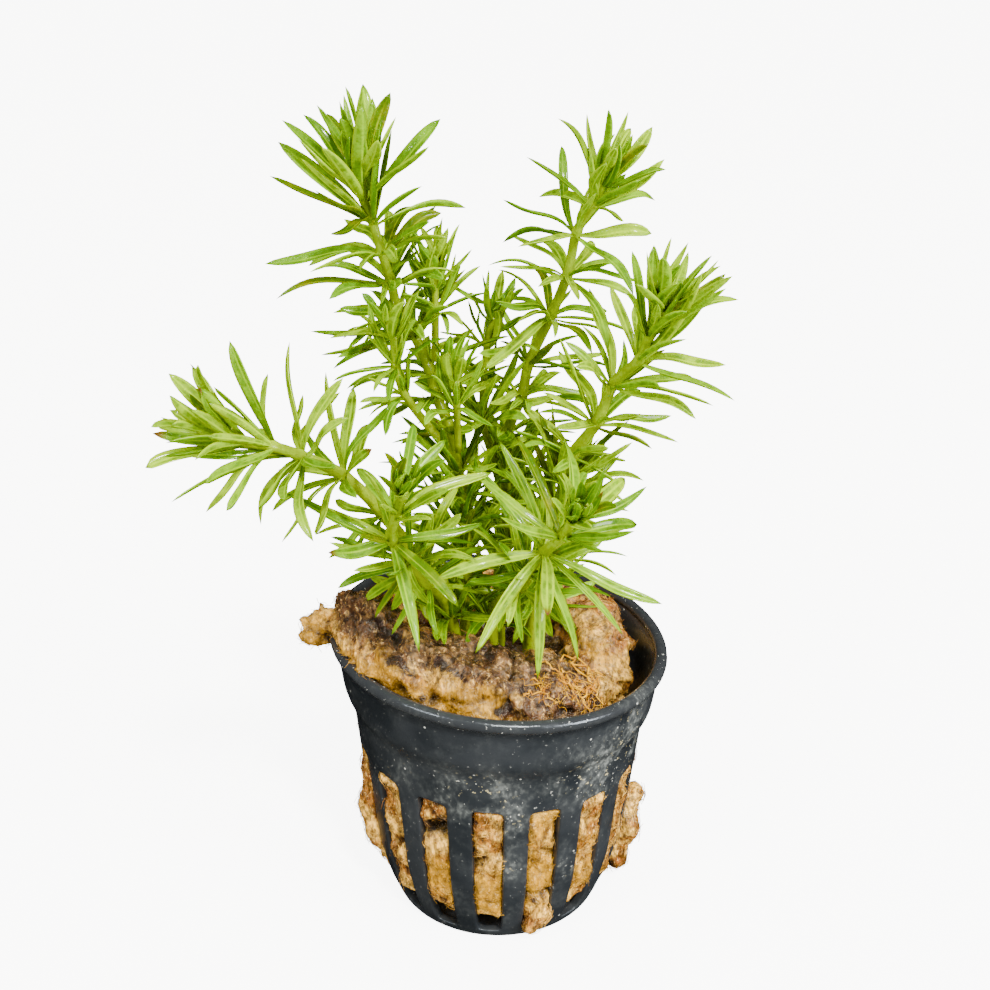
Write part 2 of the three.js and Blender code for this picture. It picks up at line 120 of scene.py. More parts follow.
class Wiring:
    """Adds nodes to one tree and joins them."""

    def __init__(self, tree: bpy.types.NodeTree) -> None:
        """Keeps the tree that is wired."""
        self.tree = tree

    def add(self, kind: str, inputs: dict[Any, Any] | None = None, **settings: Any) -> Node:
        """Adds one node.

        Args:
            kind: The node's type name.
            inputs: Socket name or index to a value, or to the socket that feeds it.
            settings: The node's own properties.

        Returns:
            The new node.
        """
        node = self.tree.nodes.new(kind)
        for name, value in settings.items():
            setattr(node, name, value)
        return self.feed(node, inputs or {})

    def feed(self, node: Node, inputs: dict[Any, Any]) -> Node:
        """Gives a node its inputs.

        Args:
            node: The node.
            inputs: Socket name or index to a value, or to the socket that feeds it.

        Returns:
            The same node.
        """
        for key, value in inputs.items():
            if isinstance(value, Socket):
                self.tree.links.new(value, node.inputs[key])
            else:
                node.inputs[key].default_value = value
        return node

    def out(self, kind: str, inputs: dict[Any, Any] | None = None, **settings: Any) -> Socket:
        """Adds one node, with the arguments of add, and returns its first output."""
        return self.add(kind, inputs, **settings).outputs[0]

    def mix(self, share: Any, first: Any, second: Any) -> Socket:
        """Blends two colours by a share from 0 to 1 and returns the colour socket."""
        node = self.add("ShaderNodeMix", {0: share, 6: first, 7: second}, data_type="RGBA")
        return node.outputs[2]

    def math(self, operation: str, *values: Any) -> Socket:
        """Works out one operation on numbers."""
        return self.out("ShaderNodeMath", dict(enumerate(values)), operation=operation)

    def times(self, first: Any, second: Any) -> Socket:
        """Multiplies two numbers."""
        return self.math("MULTIPLY", first, second)

    def plus(self, first: Any, second: Any) -> Socket:
        """Adds two numbers."""
        return self.math("ADD", first, second)

    def between(self, share: Any, low: float, high: float) -> Socket:
        """Maps 0 to 1 straight onto low to high."""
        return self.out("ShaderNodeMapRange", {"Value": share, "To Min": low, "To Max": high})

    def bump(self, height: Any, strength: float, distance: float) -> Socket:
        """Bends the surface's normal by a pattern."""
        return self.out("ShaderNodeBump", {"Height": height, "Strength": strength, "Distance": distance})

    def place(self) -> Socket:
        """Reads the place in the object's own space."""
        return self.add("ShaderNodeTexCoord").outputs["Object"]

    def ramp(self, value: Any, low: float, high: float) -> Socket:
        """Maps a value from low to high smoothly onto 0 to 1."""
        return self.out(
            "ShaderNodeMapRange",
            {"Value": value, "From Min": low, "From Max": high},
            interpolation_type="SMOOTHSTEP",
        )

    def attribute(self, name: str) -> Socket:
        """Reads a number that the mesh carries at each point."""
        return self.add("ShaderNodeAttribute", attribute_name=name).outputs["Fac"]

    def grain(
        self,
        scale: float,
        detail: float = 4,
        stretch: Point = (1, 1, 1),
        shift: float = 0,
    ) -> Socket:
        """Reads a cloudy pattern in the object's own space.

        Args:
            scale: How fine the pattern is, in repeats for each metre.
            detail: How many finer layers it has.
            stretch: The pattern's scale along each axis.
            shift: Moves the pattern, so that two of one scale differ.

        Returns:
            The pattern's value socket.
        """
        given = {"Vector": self.place(), "Scale": stretch, "Location": (shift, 0.37 * shift, 0.71 * shift)}
        place = self.out("ShaderNodeMapping", given)
        node = self.add(
            "ShaderNodeTexNoise",
            {"Vector": place, "Scale": scale, "Detail": detail, "Roughness": 0.6},
        )
        return node.outputs["Fac"]


def new_material(name: str) -> tuple[Material, Wiring, Node]:
    """Starts a material.

    Args:
        name: The material's name.

    Returns:
        The material, its wiring and its surface shader.
    """
    material = bpy.data.materials.new(name)
    material.use_nodes = True
    wiring = Wiring(material.node_tree)
    return material, wiring, material.node_tree.nodes["Principled BSDF"]


@dataclass(frozen=True)
class PotPlastic:
    """Charcoal plastic with clouds of dried mineral dust, small pale specks and painted glints on the rim.
    """

    dark: Colour = (0.012, 0.0145, 0.0175, 1)
    light: Colour = (0.024, 0.027, 0.031, 1)
    rim: Colour = (0.022, 0.024, 0.027, 1)
    dust: Colour = (0.17, 0.18, 0.17, 1)
    pale: Colour = (0.6, 0.6, 0.56, 1)
    yellow: Colour = (0.42, 0.36, 0.2, 1)
    clouds: tuple[tuple[float, ...], ...] = (
        (-3.5, -22, 30, 7, 1.0), (2, -22, 26, 6, 0.8), (13, -18, 31, 7, 1.1), (19, -12, 30, 8, 1.4),
        (-12, -18, 33, 5, 0.5), (1, -20, 16, 4, 0.7), (10, -18, 14, 4, 0.6), (-16, -14, 30, 4, 0.5),
        (18, -15, 38, 6, 1.2), (-9, -18, 12, 4, 0.35),
    )

    def dusty(self, wire: Wiring) -> Socket:
        """Adds up the clouds of dust at their places on the wall.

        Args:
            wire: The material's wiring.

        Returns:
            How dusty the plastic is.
        """
        place = wire.place()
        total: Any = 0.12
        for x, y, z, reach, strength in self.clouds:
            centre = (x * MM, y * MM, z * MM)
            away = wire.add("ShaderNodeVectorMath", {0: place, 1: centre}, operation="DISTANCE")
            near = wire.ramp(away.outputs["Value"], reach * MM * 1.2, 0.0)
            total = wire.plus(total, wire.times(near, strength))
        return total

    def dots(self, wire: Wiring, scale: float, size: float, share: float) -> Socket:
        """Scatters round specks.

        Args:
            wire: The material's wiring.
            scale: How many cells lie along a metre, with one speck at most in each.
            size: The speck's radius as a share of its cell.
            share: How many of the cells have one, from 0 to 1.

        Returns:
            One inside a speck and nothing outside it.
        """
        place = wire.place()
        cells = wire.add("ShaderNodeTexVoronoi", {"Vector": place, "Scale": scale})
        picked = wire.add("ShaderNodeSeparateColor", {0: cells.outputs["Color"]})
        inside = wire.ramp(cells.outputs["Distance"], size, size * 0.4)
        return wire.times(inside, wire.ramp(picked.outputs[0], 1 - share, 1.02 - share))

    def material(self) -> Material:
        """Builds the material."""
        made, wire, shader = new_material("charcoal_plastic")
        colour = wire.mix(wire.ramp(wire.grain(110, 3), 0.35, 0.7), self.dark, self.light)
        on_rim = wire.attribute("rim")
        colour = wire.mix(wire.ramp(on_rim, 0.1, 0.9), colour, self.rim)
        dusty = self.dusty(wire)
        cloud = wire.ramp(wire.grain(200, 7, shift=3), 0.4, 0.68)
        smear = wire.ramp(wire.grain(1300, 6, (1, 1, 0.7), 5), 0.42, 0.72)
        worn = wire.times(wire.times(cloud, wire.plus(smear, 0.2)), dusty)
        colour = wire.mix(wire.math("MINIMUM", worn, 0.85), colour, self.dust)
        # Pale specks come more often on the rim, where they are painted glints.
        often = wire.plus(wire.plus(dusty, 0.1), wire.times(on_rim, 0.7))
        dust_specks_and_rim_glints = wire.ramp(wire.grain(2100, 2, shift=13), 0.69, 0.72)
        dust_specks_and_rim_glints = wire.times(dust_specks_and_rim_glints, wire.math("MINIMUM", often, 1.0))
        dust_specks_and_rim_glints = wire.math("MAXIMUM", dust_specks_and_rim_glints, self.dots(wire, 620, 0.13, 0.2))
        colour = wire.mix(dust_specks_and_rim_glints, colour, self.pale)
        crumbs = wire.ramp(wire.grain(1250, 3, shift=9), 0.64, 0.67)
        crumbs = wire.times(crumbs, wire.ramp(dusty, 0.35, 1.2))
        colour = wire.mix(crumbs, colour, self.yellow)
        rough = wire.plus(wire.between(wire.grain(260, 5, shift=7), 0.24, 0.5), wire.times(worn, 0.4))
        wire.feed(shader, {
            "Base Color": colour,
            "Roughness": wire.math("SUBTRACT", rough, wire.times(on_rim, 0.2)),
            "Normal": wire.bump(wire.grain(900, 6), 0.2, 0.0004),
            "Specular IOR Level": 0.5,
            "Specular Tint": (0.85, 0.93, 1.0, 1),
        })
        return made


@dataclass(frozen=True)
class WoolFibre:
    """Wet brown mineral wool: golden where fresh, mauve and dark brown where stained, with painted shade
    in its folds and painted highlights on its fibres.
    """

    golden: Colour = (0.56, 0.27, 0.008, 1)
    tan: Colour = (0.21, 0.08, 0.008, 1)
    pale: Colour = (0.66, 0.37, 0.06, 1)
    rust: Colour = (0.2, 0.052, 0.008, 1)
    mauve: Colour = (0.075, 0.034, 0.015, 1)
    painted_glint: Colour = (0.9, 0.55, 0.18, 1)
    bark: Colour = (0.04, 0.014, 0.004, 1)
    stain: Colour = (0.016, 0.007, 0.007, 1)
    # Painted shade, for points deep in folds and in the dip under the leaves.
    painted_shade: Colour = (0.004, 0.002, 0.001, 1)

    def ragged(
        self,
        wire: Wiring,
        layer: str,
        scale: float,
        low: float,
        high: float,
        shift: float,
    ) -> Socket:
        """Reads a layer of marks with torn, uneven edges.

        Args:
            wire: The material's wiring.
            layer: The mesh layer that holds the marks.
            scale: How fine the edge is torn, in repeats for each metre.
            low: The value at which the mark begins.
            high: The value at which it is full.
            shift: Moves the pattern.

        Returns:
            The mark's strength, from 0 to 1.
        """
        torn = wire.math("MULTIPLY_ADD", wire.grain(scale, 8, shift=shift), 1.5, -0.75)
        return wire.ramp(wire.plus(wire.attribute(layer), torn), low, high)

    def material(self) -> Material:
        """Builds the material, which reads the mesh's stain, gold, mauve and depth, the last a painted
        shade.
        """
        made, wire, shader = new_material("mineral_wool")
        broad = wire.ramp(wire.grain(240, 8, shift=2), 0.43, 0.56)
        colour = wire.mix(broad, self.tan, self.pale)
        warm = wire.times(wire.ramp(wire.grain(330, 7, shift=6), 0.5, 0.66), 0.65)
        colour = wire.mix(warm, colour, self.rust)
        fresh = wire.times(self.ragged(wire, "gold", 420, 0.15, 0.75, 15), 0.9)
        colour = wire.mix(fresh, colour, self.golden)
        greyed = wire.times(self.ragged(wire, "mauve", 460, 0.2, 0.85, 9), 0.88)
        colour = wire.mix(greyed, colour, self.mauve)
        often = wire.math("MULTIPLY_ADD", wire.attribute("mauve"), 0.6, 0.36)
        speckle = wire.times(wire.ramp(wire.grain(640, 8, (1, 1, 0.6), 23), 0.49, 0.6), often)
        colour = wire.mix(speckle, colour, self.bark)
        # Painted glints: fine bright specks mixed into the colour.
        pale = wire.times(wire.ramp(wire.grain(2200, 6, (1, 1, 0.5), 27), 0.56, 0.64), 0.5)
        colour = wire.mix(pale, colour, self.painted_glint)
        streaky = wire.math("MULTIPLY_ADD", wire.attribute("mauve"), 0.5, 0.42)
        streaks = wire.ramp(wire.grain(760, 6, (1, 0.22, 0.3), 31), 0.51, 0.6)
        colour = wire.mix(wire.times(streaks, streaky), colour, self.bark)
        stained = wire.times(self.ragged(wire, "stain", 620, 0.3, 0.85, 11), 0.94)
        colour = wire.mix(stained, colour, self.stain)
        # Painted shade: points deep in folds and in the dip under the leaves turn nearly black.
        colour = wire.mix(wire.times(wire.attribute("depth"), 0.92), colour, self.painted_shade)
        # The wool's fine mottling, with painted shade between the fibres and painted highlights on them:
        # the colour is multiplied by 0.03 to 2.2.
        hair = wire.ramp(wire.grain(2600, 6, (1, 1, 0.45), 4), 0.32, 0.7)
        mottle = wire.ramp(wire.grain(1100, 8, (1, 1, 0.7), 17), 0.36, 0.66)
        both = wire.times(wire.plus(hair, 0.35), wire.plus(mottle, 0.35))
        shade = wire.between(both, 0.03, 2.2)
        calm = wire.times(wire.ramp(wire.attribute("gold"), 0.1, 0.8), 0.65)
        shade = wire.out("ShaderNodeMix", {0: calm, 2: shade, 3: 0.95}, data_type="FLOAT")
        shaded = wire.add(
            "ShaderNodeMix",
            {0: 1.0, 6: colour, 7: shade},
            data_type="RGBA",
            blend_type="MULTIPLY",
        )
        wire.feed(shader, {
            "Base Color": shaded.outputs[2],
            "Roughness": wire.between(wire.grain(450, 5, shift=1), 0.05, 0.45),
            "Normal": wire.bump(wire.grain(1500, 8, (1, 1, 0.45), 8), 0.8, 0.0008),
            "Specular IOR Level": 0.9,
            "Specular Tint": (1, 0.92, 0.78, 1),
        })
        return made


@dataclass(frozen=True)
class LeafTissue:
    """Wet leaf and stem tissue: pale at the midrib, with a painted highlight along the margins, deeper
    between them.
    """

    bright: Colour = (0.38, 0.58, 0.0, 1)
    fresh: Colour = (0.18, 0.39, 0.0, 1)
    deep: Colour = (0.03, 0.1, 0.0, 1)
    olive: Colour = (0.2, 0.2, 0.0, 1)
    # The pale colour of the midrib and the leaf's base, also used for the painted highlight along the
    # margins.
    rib: Colour = (0.58, 0.78, 0.0, 1)
    stem: Colour = (0.28, 0.36, 0.0, 1)
    scorch: Colour = (0.116971, 0.039546, 0.006995, 1)

    def material(self) -> Material:
        """Builds the material, which reads the mesh's tint, across, along, bark and brown."""
        made, wire, shader = new_material("leaf_tissue")
        across = wire.attribute("across")
        along = wire.attribute("along")
        tint = wire.attribute("tint")
        colour = wire.mix(wire.ramp(tint, 0.15, 0.95), self.fresh, self.bright)
        colour = wire.mix(wire.ramp(tint, 0.06, 0.0), colour, self.olive)
        patch = wire.times(wire.ramp(wire.grain(520, 4, shift=3), 0.45, 0.7), 0.5)
        colour = wire.mix(patch, colour, self.fresh)
        stripes = wire.times(wire.ramp(across, 0.1, 0.22), wire.ramp(across, 0.8, 0.6))
        uneven = wire.math("MULTIPLY_ADD", wire.ramp(wire.grain(450, 4, shift=21), 0.4, 0.62), 0.5, 0.2)
        colour = wire.mix(wire.times(stripes, uneven), colour, self.deep)
        # Painted highlight along the leaf's edges.
        edge_highlight = wire.times(wire.ramp(across, 0.78, 1.0), 0.35)
        colour = wire.mix(edge_highlight, colour, self.rib)
        shady = wire.times(wire.ramp(tint, 0.5, 0.05), wire.ramp(wire.grain(300, 3, shift=12), 0.3, 0.6))
        colour = wire.mix(wire.times(shady, 0.75), colour, self.deep)
        midrib = wire.times(wire.ramp(across, 0.12, 0.02), wire.ramp(along, 0.97, 0.5))
        colour = wire.mix(wire.times(midrib, 0.35), colour, self.rib)
        colour = wire.mix(wire.times(wire.ramp(along, 0.16, 0.0), 0.5), colour, self.rib)
        colour = wire.mix(wire.attribute("bark"), colour, self.stem)
        scorched = wire.times(wire.attribute("brown"), wire.ramp(along, 0.84, 0.97))
        colour = wire.mix(scorched, colour, self.scorch)
        wire.feed(shader, {
            "Base Color": colour,
            "Roughness": wire.between(wire.grain(700, 3, shift=2), 0.1, 0.3),
            "Normal": wire.bump(wire.grain(1500, 4, shift=5), 0.5, 0.0005),
            "Specular IOR Level": 0.2,
            "Specular Tint": (1.0, 1.0, 0.6, 1),
            "Coat Weight": 0.4,
            "Coat Roughness": 0.1,
            "Subsurface Weight": 0.1,
            "Subsurface Radius": (0.6, 1.0, 0.1),
            "Subsurface Scale": 0.0006,
        })
        return made


@dataclass(frozen=True)
class RootSkin:
    """Fine orange root."""

    light: Colour = (0.98, 0.5, 0.0, 1)
    dark: Colour = (0.68, 0.25, 0.0, 1)

    def material(self) -> Material:
        """Builds the material."""
        made, wire, shader = new_material("root_skin")
        colour = wire.mix(wire.ramp(wire.grain(700, 4), 0.35, 0.65), self.dark, self.light)
        wire.feed(shader, {"Base Color": colour, "Roughness": 0.45, "Specular IOR Level": 0.25})
        return made


@dataclass(frozen=True)
class FloorPaper:
    """Plain white floor, lit a little from within so that it stays pale."""

    colour: Colour = (0.86, 0.86, 0.86, 1.0)
    glow: float = 7.0

    def material(self) -> Material:
        """Builds the material."""
        made, wire, shader = new_material("floor_paper")
        wire.feed(shader, {
            "Base Color": self.colour,
            "Roughness": 0.9,
            "Emission Color": (1, 1, 1, 1),
            "Emission Strength": self.glow,
        })
        return made


def face_outwards(mesh: Mesh) -> None:
    """Turns all faces of a mesh so that they look outwards."""
    form = bmesh.new()
    form.from_mesh(mesh)
    bmesh.ops.recalc_face_normals(form, faces=form.faces)
    form.to_mesh(mesh)
    form.free()


def read_rows(mesh: Mesh, what: str) -> Array:
    """Reads the points of a mesh, or what else they carry.

    Args:
        mesh: The mesh.
        what: The name of the points' property, "co" or "normal".

    Returns:
        One row of three numbers for each point.
    """
    values = np.zeros(len(mesh.vertices) * 3)
    mesh.vertices.foreach_get(what, values)
    return values.reshape(-1, 3)


def move_points(mesh: Mesh, points: Array) -> None:
    """Moves a mesh's points to places in millimetres and shades it smooth."""
    mesh.vertices.foreach_set("co", (points * MM).ravel())
    shade_smooth(mesh)


def shade_smooth(mesh: Mesh) -> None:
    """Shades all faces of a mesh smooth."""
    mesh.polygons.foreach_set("use_smooth", [True] * len(mesh.polygons))


def write_layer(mesh: Mesh, name: str, values: Array) -> None:
    """Stores one number at each point of a mesh."""
    layer = mesh.attributes.new(name, "FLOAT", "POINT")
    layer.data.foreach_set("value", values.astype(np.float32))


def ring_faces(rows: int, sides: int) -> Faces:
    """Lists the faces between rings of points.

    Args:
        rows: How many rings there are.
        sides: How many points are in each ring.

    Returns:
        Four points for each face.
    """
    faces: Faces = []
    for low in range(0, (rows - 1) * sides, sides):
        for k in range(sides):
            ahead = (k + 1) % sides
            faces.append((low + k, low + ahead, low + sides + ahead, low + sides + k))
    return faces


@dataclass
class Draft:
    """A mesh in the making, in millimetres, with numbers at its points."""

    chunks: list[Array] = field(default_factory=list)
    faces: Faces = field(default_factory=list)
    values: dict[str, list[Array]] = field(default_factory=dict)
    count: int = 0

    def add(self, points: Array, faces: Faces, **values: Any) -> None:
        """Adds a form.

        Args:
            points: Its points, one in each row.
            faces: Its faces, counted from its first point.
            values: Numbers at its points, one for all or one for each.
        """
        self.chunks.append(points)
        self.faces.extend(tuple(i + self.count for i in face) for face in faces)
        for name, value in values.items():
            spread = np.broadcast_to(np.asarray(value, float), (len(points),))
            self.values.setdefault(name, []).append(spread)
        self.count += len(points)

    def tube(self, path: Array, radii: Array, sides: int, reference: Point) -> None:
        """Adds a closed tube, with the arguments of tube_points."""
        self.add(tube_points(path, radii, sides, reference), tube_faces(len(path), sides))

    def build(self, name: str) -> Piece:
        """Makes a smooth mesh object at the origin, in metres."""
        mesh = bpy.data.meshes.new(name)
        mesh.from_pydata((np.vstack(self.chunks) * MM).tolist(), [], self.faces)
        for key, parts in self.values.items():
            write_layer(mesh, key, np.concatenate(parts))
        shade_smooth(mesh)
        mesh.validate()
        made = bpy.data.objects.new(name, mesh)
        bpy.context.scene.collection.objects.link(made)
        return made


def tube_faces(rows: int, sides: int) -> Faces:
    """Lists the faces of a closed tube.

    Args:
        rows: How many rings of points it has.
        sides: How many points are in each ring.

    Returns:
        Its side faces and its two end caps.
    """
    last = (rows - 1) * sides
    return ring_faces(rows, sides) + [tuple(range(sides - 1, -1, -1)), tuple(range(last, last + sides))]


def tube_points(path: Array, radii: Array, sides: int, reference: Point) -> Array:
    """Places the rings of a tube.

    Args:
        path: The tube's centre line, one point in each row.
        radii: The radius at each point of the line.
        sides: How many points are in each ring.
        reference: A direction that the line never runs along.

    Returns:
        The points, ring after ring.
    """
    tangent = unit(np.gradient(path, axis=0))
    side = unit(np.cross(np.array(reference, float), tangent))
    other = np.cross(tangent, side)
    turn = np.arange(sides) * 2 * math.pi / sides
    c, s = np.cos(turn)[None, :, None], np.sin(turn)[None, :, None]
    ring = side[:, None] * c + other[:, None] * s
    return (path[:, None] + ring * radii[:, None, None]).reshape(-1, 3)


def on_body(piece: Piece, slot: Slot, *nodes: str) -> Piece:
    """Puts a finished piece on the frame.

    Args:
        piece: The finished object.
        slot: The record's slot that its finish comes from; not used.
        nodes: The nodes that it stands for.

    Returns:
        The same piece.
    """
    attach(piece, "root")
    if nodes:
        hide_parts(*nodes)
    LOG.info("%s: %d faces", piece.name, len(piece.data.polygons))
    return piece


def baked(piece: Piece) -> Piece:
    """Turns a piece with modifiers into a plain mesh and removes the modifiers."""
    depsgraph = bpy.context.evaluated_depsgraph_get()
    mesh = bpy.data.meshes.new_from_object(piece.evaluated_get(depsgraph))
    piece.modifiers.clear()
    piece.data = mesh
    return piece


class NodeForm:
    """A Geometry Nodes tree with named inputs, run once on a piece."""

    def __init__(self, name: str) -> None:
        """Starts the tree with its geometry socket."""
        self.tree = bpy.data.node_groups.new(name, "GeometryNodeTree")
        self.tree.interface.new_socket("Geometry", in_out="INPUT", socket_type="NodeSocketGeometry")
        self.tree.interface.new_socket("Geometry", in_out="OUTPUT", socket_type="NodeSocketGeometry")
        self.given: dict[str, Any] = {}
        self.identifiers: dict[str, str] = {}
        self.wire = Wiring(self.tree)
        self.entry: Node | None = None

    def take(self, name: str, kind: str, value: Any) -> None:
        """Declares a named input.

        Args:
            name: The input's name.
            kind: The socket's type name.
            value: What the piece gives it.
        """
        socket = self.tree.interface.new_socket(name, in_out="INPUT", socket_type=kind)
        self.identifiers[name] = socket.identifier
        self.given[name] = value

    def read(self, name: str) -> Socket:
        """Gives the socket of a named input inside the tree."""
        if self.entry is None:
            self.entry = self.wire.add("NodeGroupInput")
        return self.entry.outputs[name]

    def copies(self, shape: str, inputs: dict[str, Any]) -> Socket:
        """Puts a copy of an object on each point.

        Args:
            shape: The name of the input that gives the object.
            inputs: The points and what turns and scales the copies.

        Returns:
            The copies' socket.
        """
        found = self.wire.add("GeometryNodeObjectInfo", {"Object": self.read(shape)})
        given = {"Instance": found.outputs["Geometry"], **inputs}
        return self.wire.out("GeometryNodeInstanceOnPoints", given)

    def end(self, geometry: Socket, material: str) -> None:
        """Sets the material that a named input gives, and feeds the tree's output."""
        given = {0: geometry, "Material": self.read(material)}
        self.wire.add("NodeGroupOutput", {0: self.wire.out("GeometryNodeSetMaterial", given)})

    def run(self, piece: Piece) -> Piece:
        """Runs the tree on a piece and leaves a plain mesh."""
        modifier = piece.modifiers.new(self.tree.name, "NODES")
        modifier.node_group = self.tree
        for name, value in self.given.items():
            modifier[self.identifiers[name]] = value
        return baked(piece)


@dataclass
class NetPot:
    """The slotted net pot: a tapered cup with a flared band, a rolled rim and a slotted wall."""

    height: float = 44
    wall: float = 1.3
    rim_radius: float = 25
    bead_radius: float = 0.95
    slot_deg: float = 12.4
    slot_phase_deg: float = -3.7
    slot_low: float = 1.6
    slot_high: float = 26.6
    slot_corner: float = 0.85
    outer_edge: float = 0.3
    inner_edge: float = 0.1
    cell_low: float = 0.7
    cell_high: float = 28
    floor: float = 1.4
    drain_inner: float = 6
    drain_outer: float = 13
    lean_deg: float = 4.5
    cells: int = 16
    flat_radius: float = 20
    hub: float = 3
    drain_middle: float = 9.5
    floor_edge: float = 14.6
    foot: tuple[tuple[float, float], ...] = ((16.2, 0.25), (15.9, 0))
    bend_reach: float = 0.9
    bead_turns_deg: tuple[float, float] = (-60, 210)
    bead_steps: int = 15
    rim_colour_from: float = 41.4
    rim_colour_over: float = 0.8
    sharp_deg: float = 50
    outline: tuple[tuple[float, float], ...] = (
        (0, 16.1), (5, 18.1), (12, 19.8), (32.8, 21.9), (35.4, 23.2), (42.4, 24.1),
    )
    down: tuple[float, ...] = (
        -1, -0.965, -0.91, -0.8, -0.65, -0.5, -0.33, -0.16, 0,
        0.16, 0.33, 0.5, 0.65, 0.8, 0.91, 0.965, 1,
    )
    up: tuple[float, ...] = (
        28, 29.6, 31.2, 32.2, 32.8, 33.4, 34, 34.6, 35.2, 35.8, 36.8, 38.4, 40.2, 41.8,
    )

    @property
    def pitch_deg(self) -> float:
        """The angle from one slot to the next."""
        return 360 / self.cells

    @property
    def turns(self) -> tuple[float, ...]:
        """Where a cell's columns stand, from -1 at its left to 1 at its right."""
        opening = self.slot_deg / self.pitch_deg
        return (-1, -0.8, -opening, -0.25, 0.25, opening, 0.8, 1)

    @property
    def bead(self) -> tuple[float, float]:
        """The radius and the height of the rolled rim's centre."""
        return self.rim_radius - self.bead_radius, self.height - self.bead_radius

    @property
    def inner_low(self) -> float:
        """The height at which the slots' cells begin on the inside."""
        return self.floor + 0.06

    @property
    def half_slot(self) -> float:
        """Half the width of a slot on the wall laid flat."""
        return math.radians(self.slot_deg / 2) * self.flat_radius

    def radius(self, height: Array | float) -> Array:
        """Reads the outside radius at a height, with the bends of the outline softened."""
        levels, radii = np.array(self.outline, float).T
        shifts = [share * self.bend_reach for share in (-1, -0.5, 0, 0.5, 1)]
        near = (np.interp(np.asarray(height) + shift, levels, radii) for shift in shifts)
        return sum(near) / len(shifts)

    def lean(self, points: Array) -> Array:
        """Lowers the right side and lifts the left, as the soft pot has sagged.

        Args:
            points: Points of the pot or of what fills it, one in each row.

        Returns:
            The moved points.
        """
        moved = points.copy()
        share = np.minimum(points[:, 2] / self.height, 1)
        moved[:, 2] -= math.tan(math.radians(self.lean_deg)) * points[:, 0] * share
        return moved

    def depth_in_slot(self, points: Array) -> Array:
        """Measures how far each point lies inside the outline of a slot, negative behind a rib.

        Args:
            points: Points of the upright pot, one in each row.

        Returns:
            The distance to the nearest side of the slot in millimetres.
        """
        x, y, z = points.T
        turn = np.degrees(np.arctan2(x, -y)) - self.slot_phase_deg
        half = self.pitch_deg / 2
        off = np.abs((turn + half) % self.pitch_deg - half)
        side = self.half_slot - np.radians(off) * self.flat_radius
        return np.minimum(side, np.minimum(z - self.slot_low, self.slot_high - z))

    def placed(self, across: Array, level: Array, depth: float) -> Array:
        """Puts places on the flat wall where they belong on the round one.

        Args:
            across: How far each lies from the middle of the slot.
            level: Their heights.
            depth: How far they lie under the outside.

        Returns:
            The points, one in each row.
        """
        turn = across / self.flat_radius
        reach = self.radius(level) - depth
        return np.stack([np.sin(turn) * reach, -np.cos(turn) * reach, level], 1)

    def loop(self) -> tuple[Array, Array, Array]:
        """Lays out the slot's rounded outline, and where each of its points meets the cell's edge.

        Returns:
            The outline's points on the flat wall, their outward directions, and the cell's edge as two
            shares from -1 to 1.
        """
        turns, down = self.turns, self.down
        edge = [(u, -1.0) for u in turns[:-1]] + [(1.0, v) for v in down[:-1]]
        edge += [(u, 1.0) for u in turns[:0:-1]] + [(-1.0, v) for v in down[:0:-1]]
        rim = np.array(edge)
        middle = (self.slot_low + self.slot_high) / 2
        half = np.array([self.half_slot, (self.slot_high - self.slot_low) / 2])
        flat = rim * half
        core = np.clip(flat, -(half - self.slot_corner), half - self.slot_corner)
        outward = unit(flat - core)
        outline = core + outward * self.slot_corner
        return outline + np.array([0, middle]), outward, rim

    def cell(self, draft: Draft, turn_deg: float) -> None:
        """Adds one slot with its rounded edges and the wall round it, inside and outside.

        Args:
            draft: The mesh in the making.
            turn_deg: Where the slot stands.
        """
        outline, outward, rim = self.loop()
        half_pitch = math.radians(self.pitch_deg / 2) * self.flat_radius
        rings: list[tuple[Array, float]] = []
        quarter = np.radians([0, 30, 60, 90])
        for side, edge in ((1, self.outer_edge), (-1, self.inner_edge)):
            low = self.cell_low if side > 0 else self.inner_low
            middle, reach = (self.cell_high + low) / 2, (self.cell_high - low) / 2
            border = rim * np.array([half_pitch, reach]) + np.array([0, middle])
            depth = 0 if side > 0 else self.wall
            towards = outline + outward * edge - border
            flat = [(border + towards * share, depth) for share in (0, 0.35, 0.7)]
            bent = [
                (
                    outline + outward * edge * (1 - math.sin(turn)),
                    abs(depth - edge * (1 - math.cos(turn))),
                )
                for turn in quarter
            ]
            rings += (flat + bent) if side > 0 else (flat + bent)[::-1]
        points = np.vstack([self.placed(flat[:, 0], flat[:, 1], depth) for flat, depth in rings])
        draft.add(self.turned(points, turn_deg), ring_faces(len(rings), len(outline)), rim=0)

    def turned(self, points: Array, turn_deg: float) -> Array:
        """Turns points about the pot's axis."""
        c, s = math.cos(math.radians(turn_deg)), math.sin(math.radians(turn_deg))
        return points @ np.array([[c, s, 0], [-s, c, 0], [0, 0, 1]])

    def bands(self) -> tuple[list[tuple[float, float]], list[tuple[float, float]]]:
        """Lists the radius and height of the band's and the rim's outline, and of the floor's."""
        band = [(float(self.radius(level)), float(level)) for level in self.up]
        reach, level = self.bead
        for turn in np.radians(np.linspace(*self.bead_turns_deg, self.bead_steps)):
            out, up = self.bead_radius * math.cos(turn), self.bead_radius * math.sin(turn)
            band.append((reach + out, level + up))
        band += [(float(self.radius(level)) - self.wall, float(level)) for level in self.up[::-1]]
        steps = (0, self.hub, self.drain_inner, self.drain_middle, self.drain_outer, self.floor_edge)
        under = [(float(self.radius(self.cell_low)), self.cell_low), *self.foot]
        under += [(step, 0) for step in steps[::-1]]
        over = [(step, self.floor) for step in steps]
        over.append((float(self.radius(self.inner_low)) - self.wall, self.inner_low))
        return band, under + over

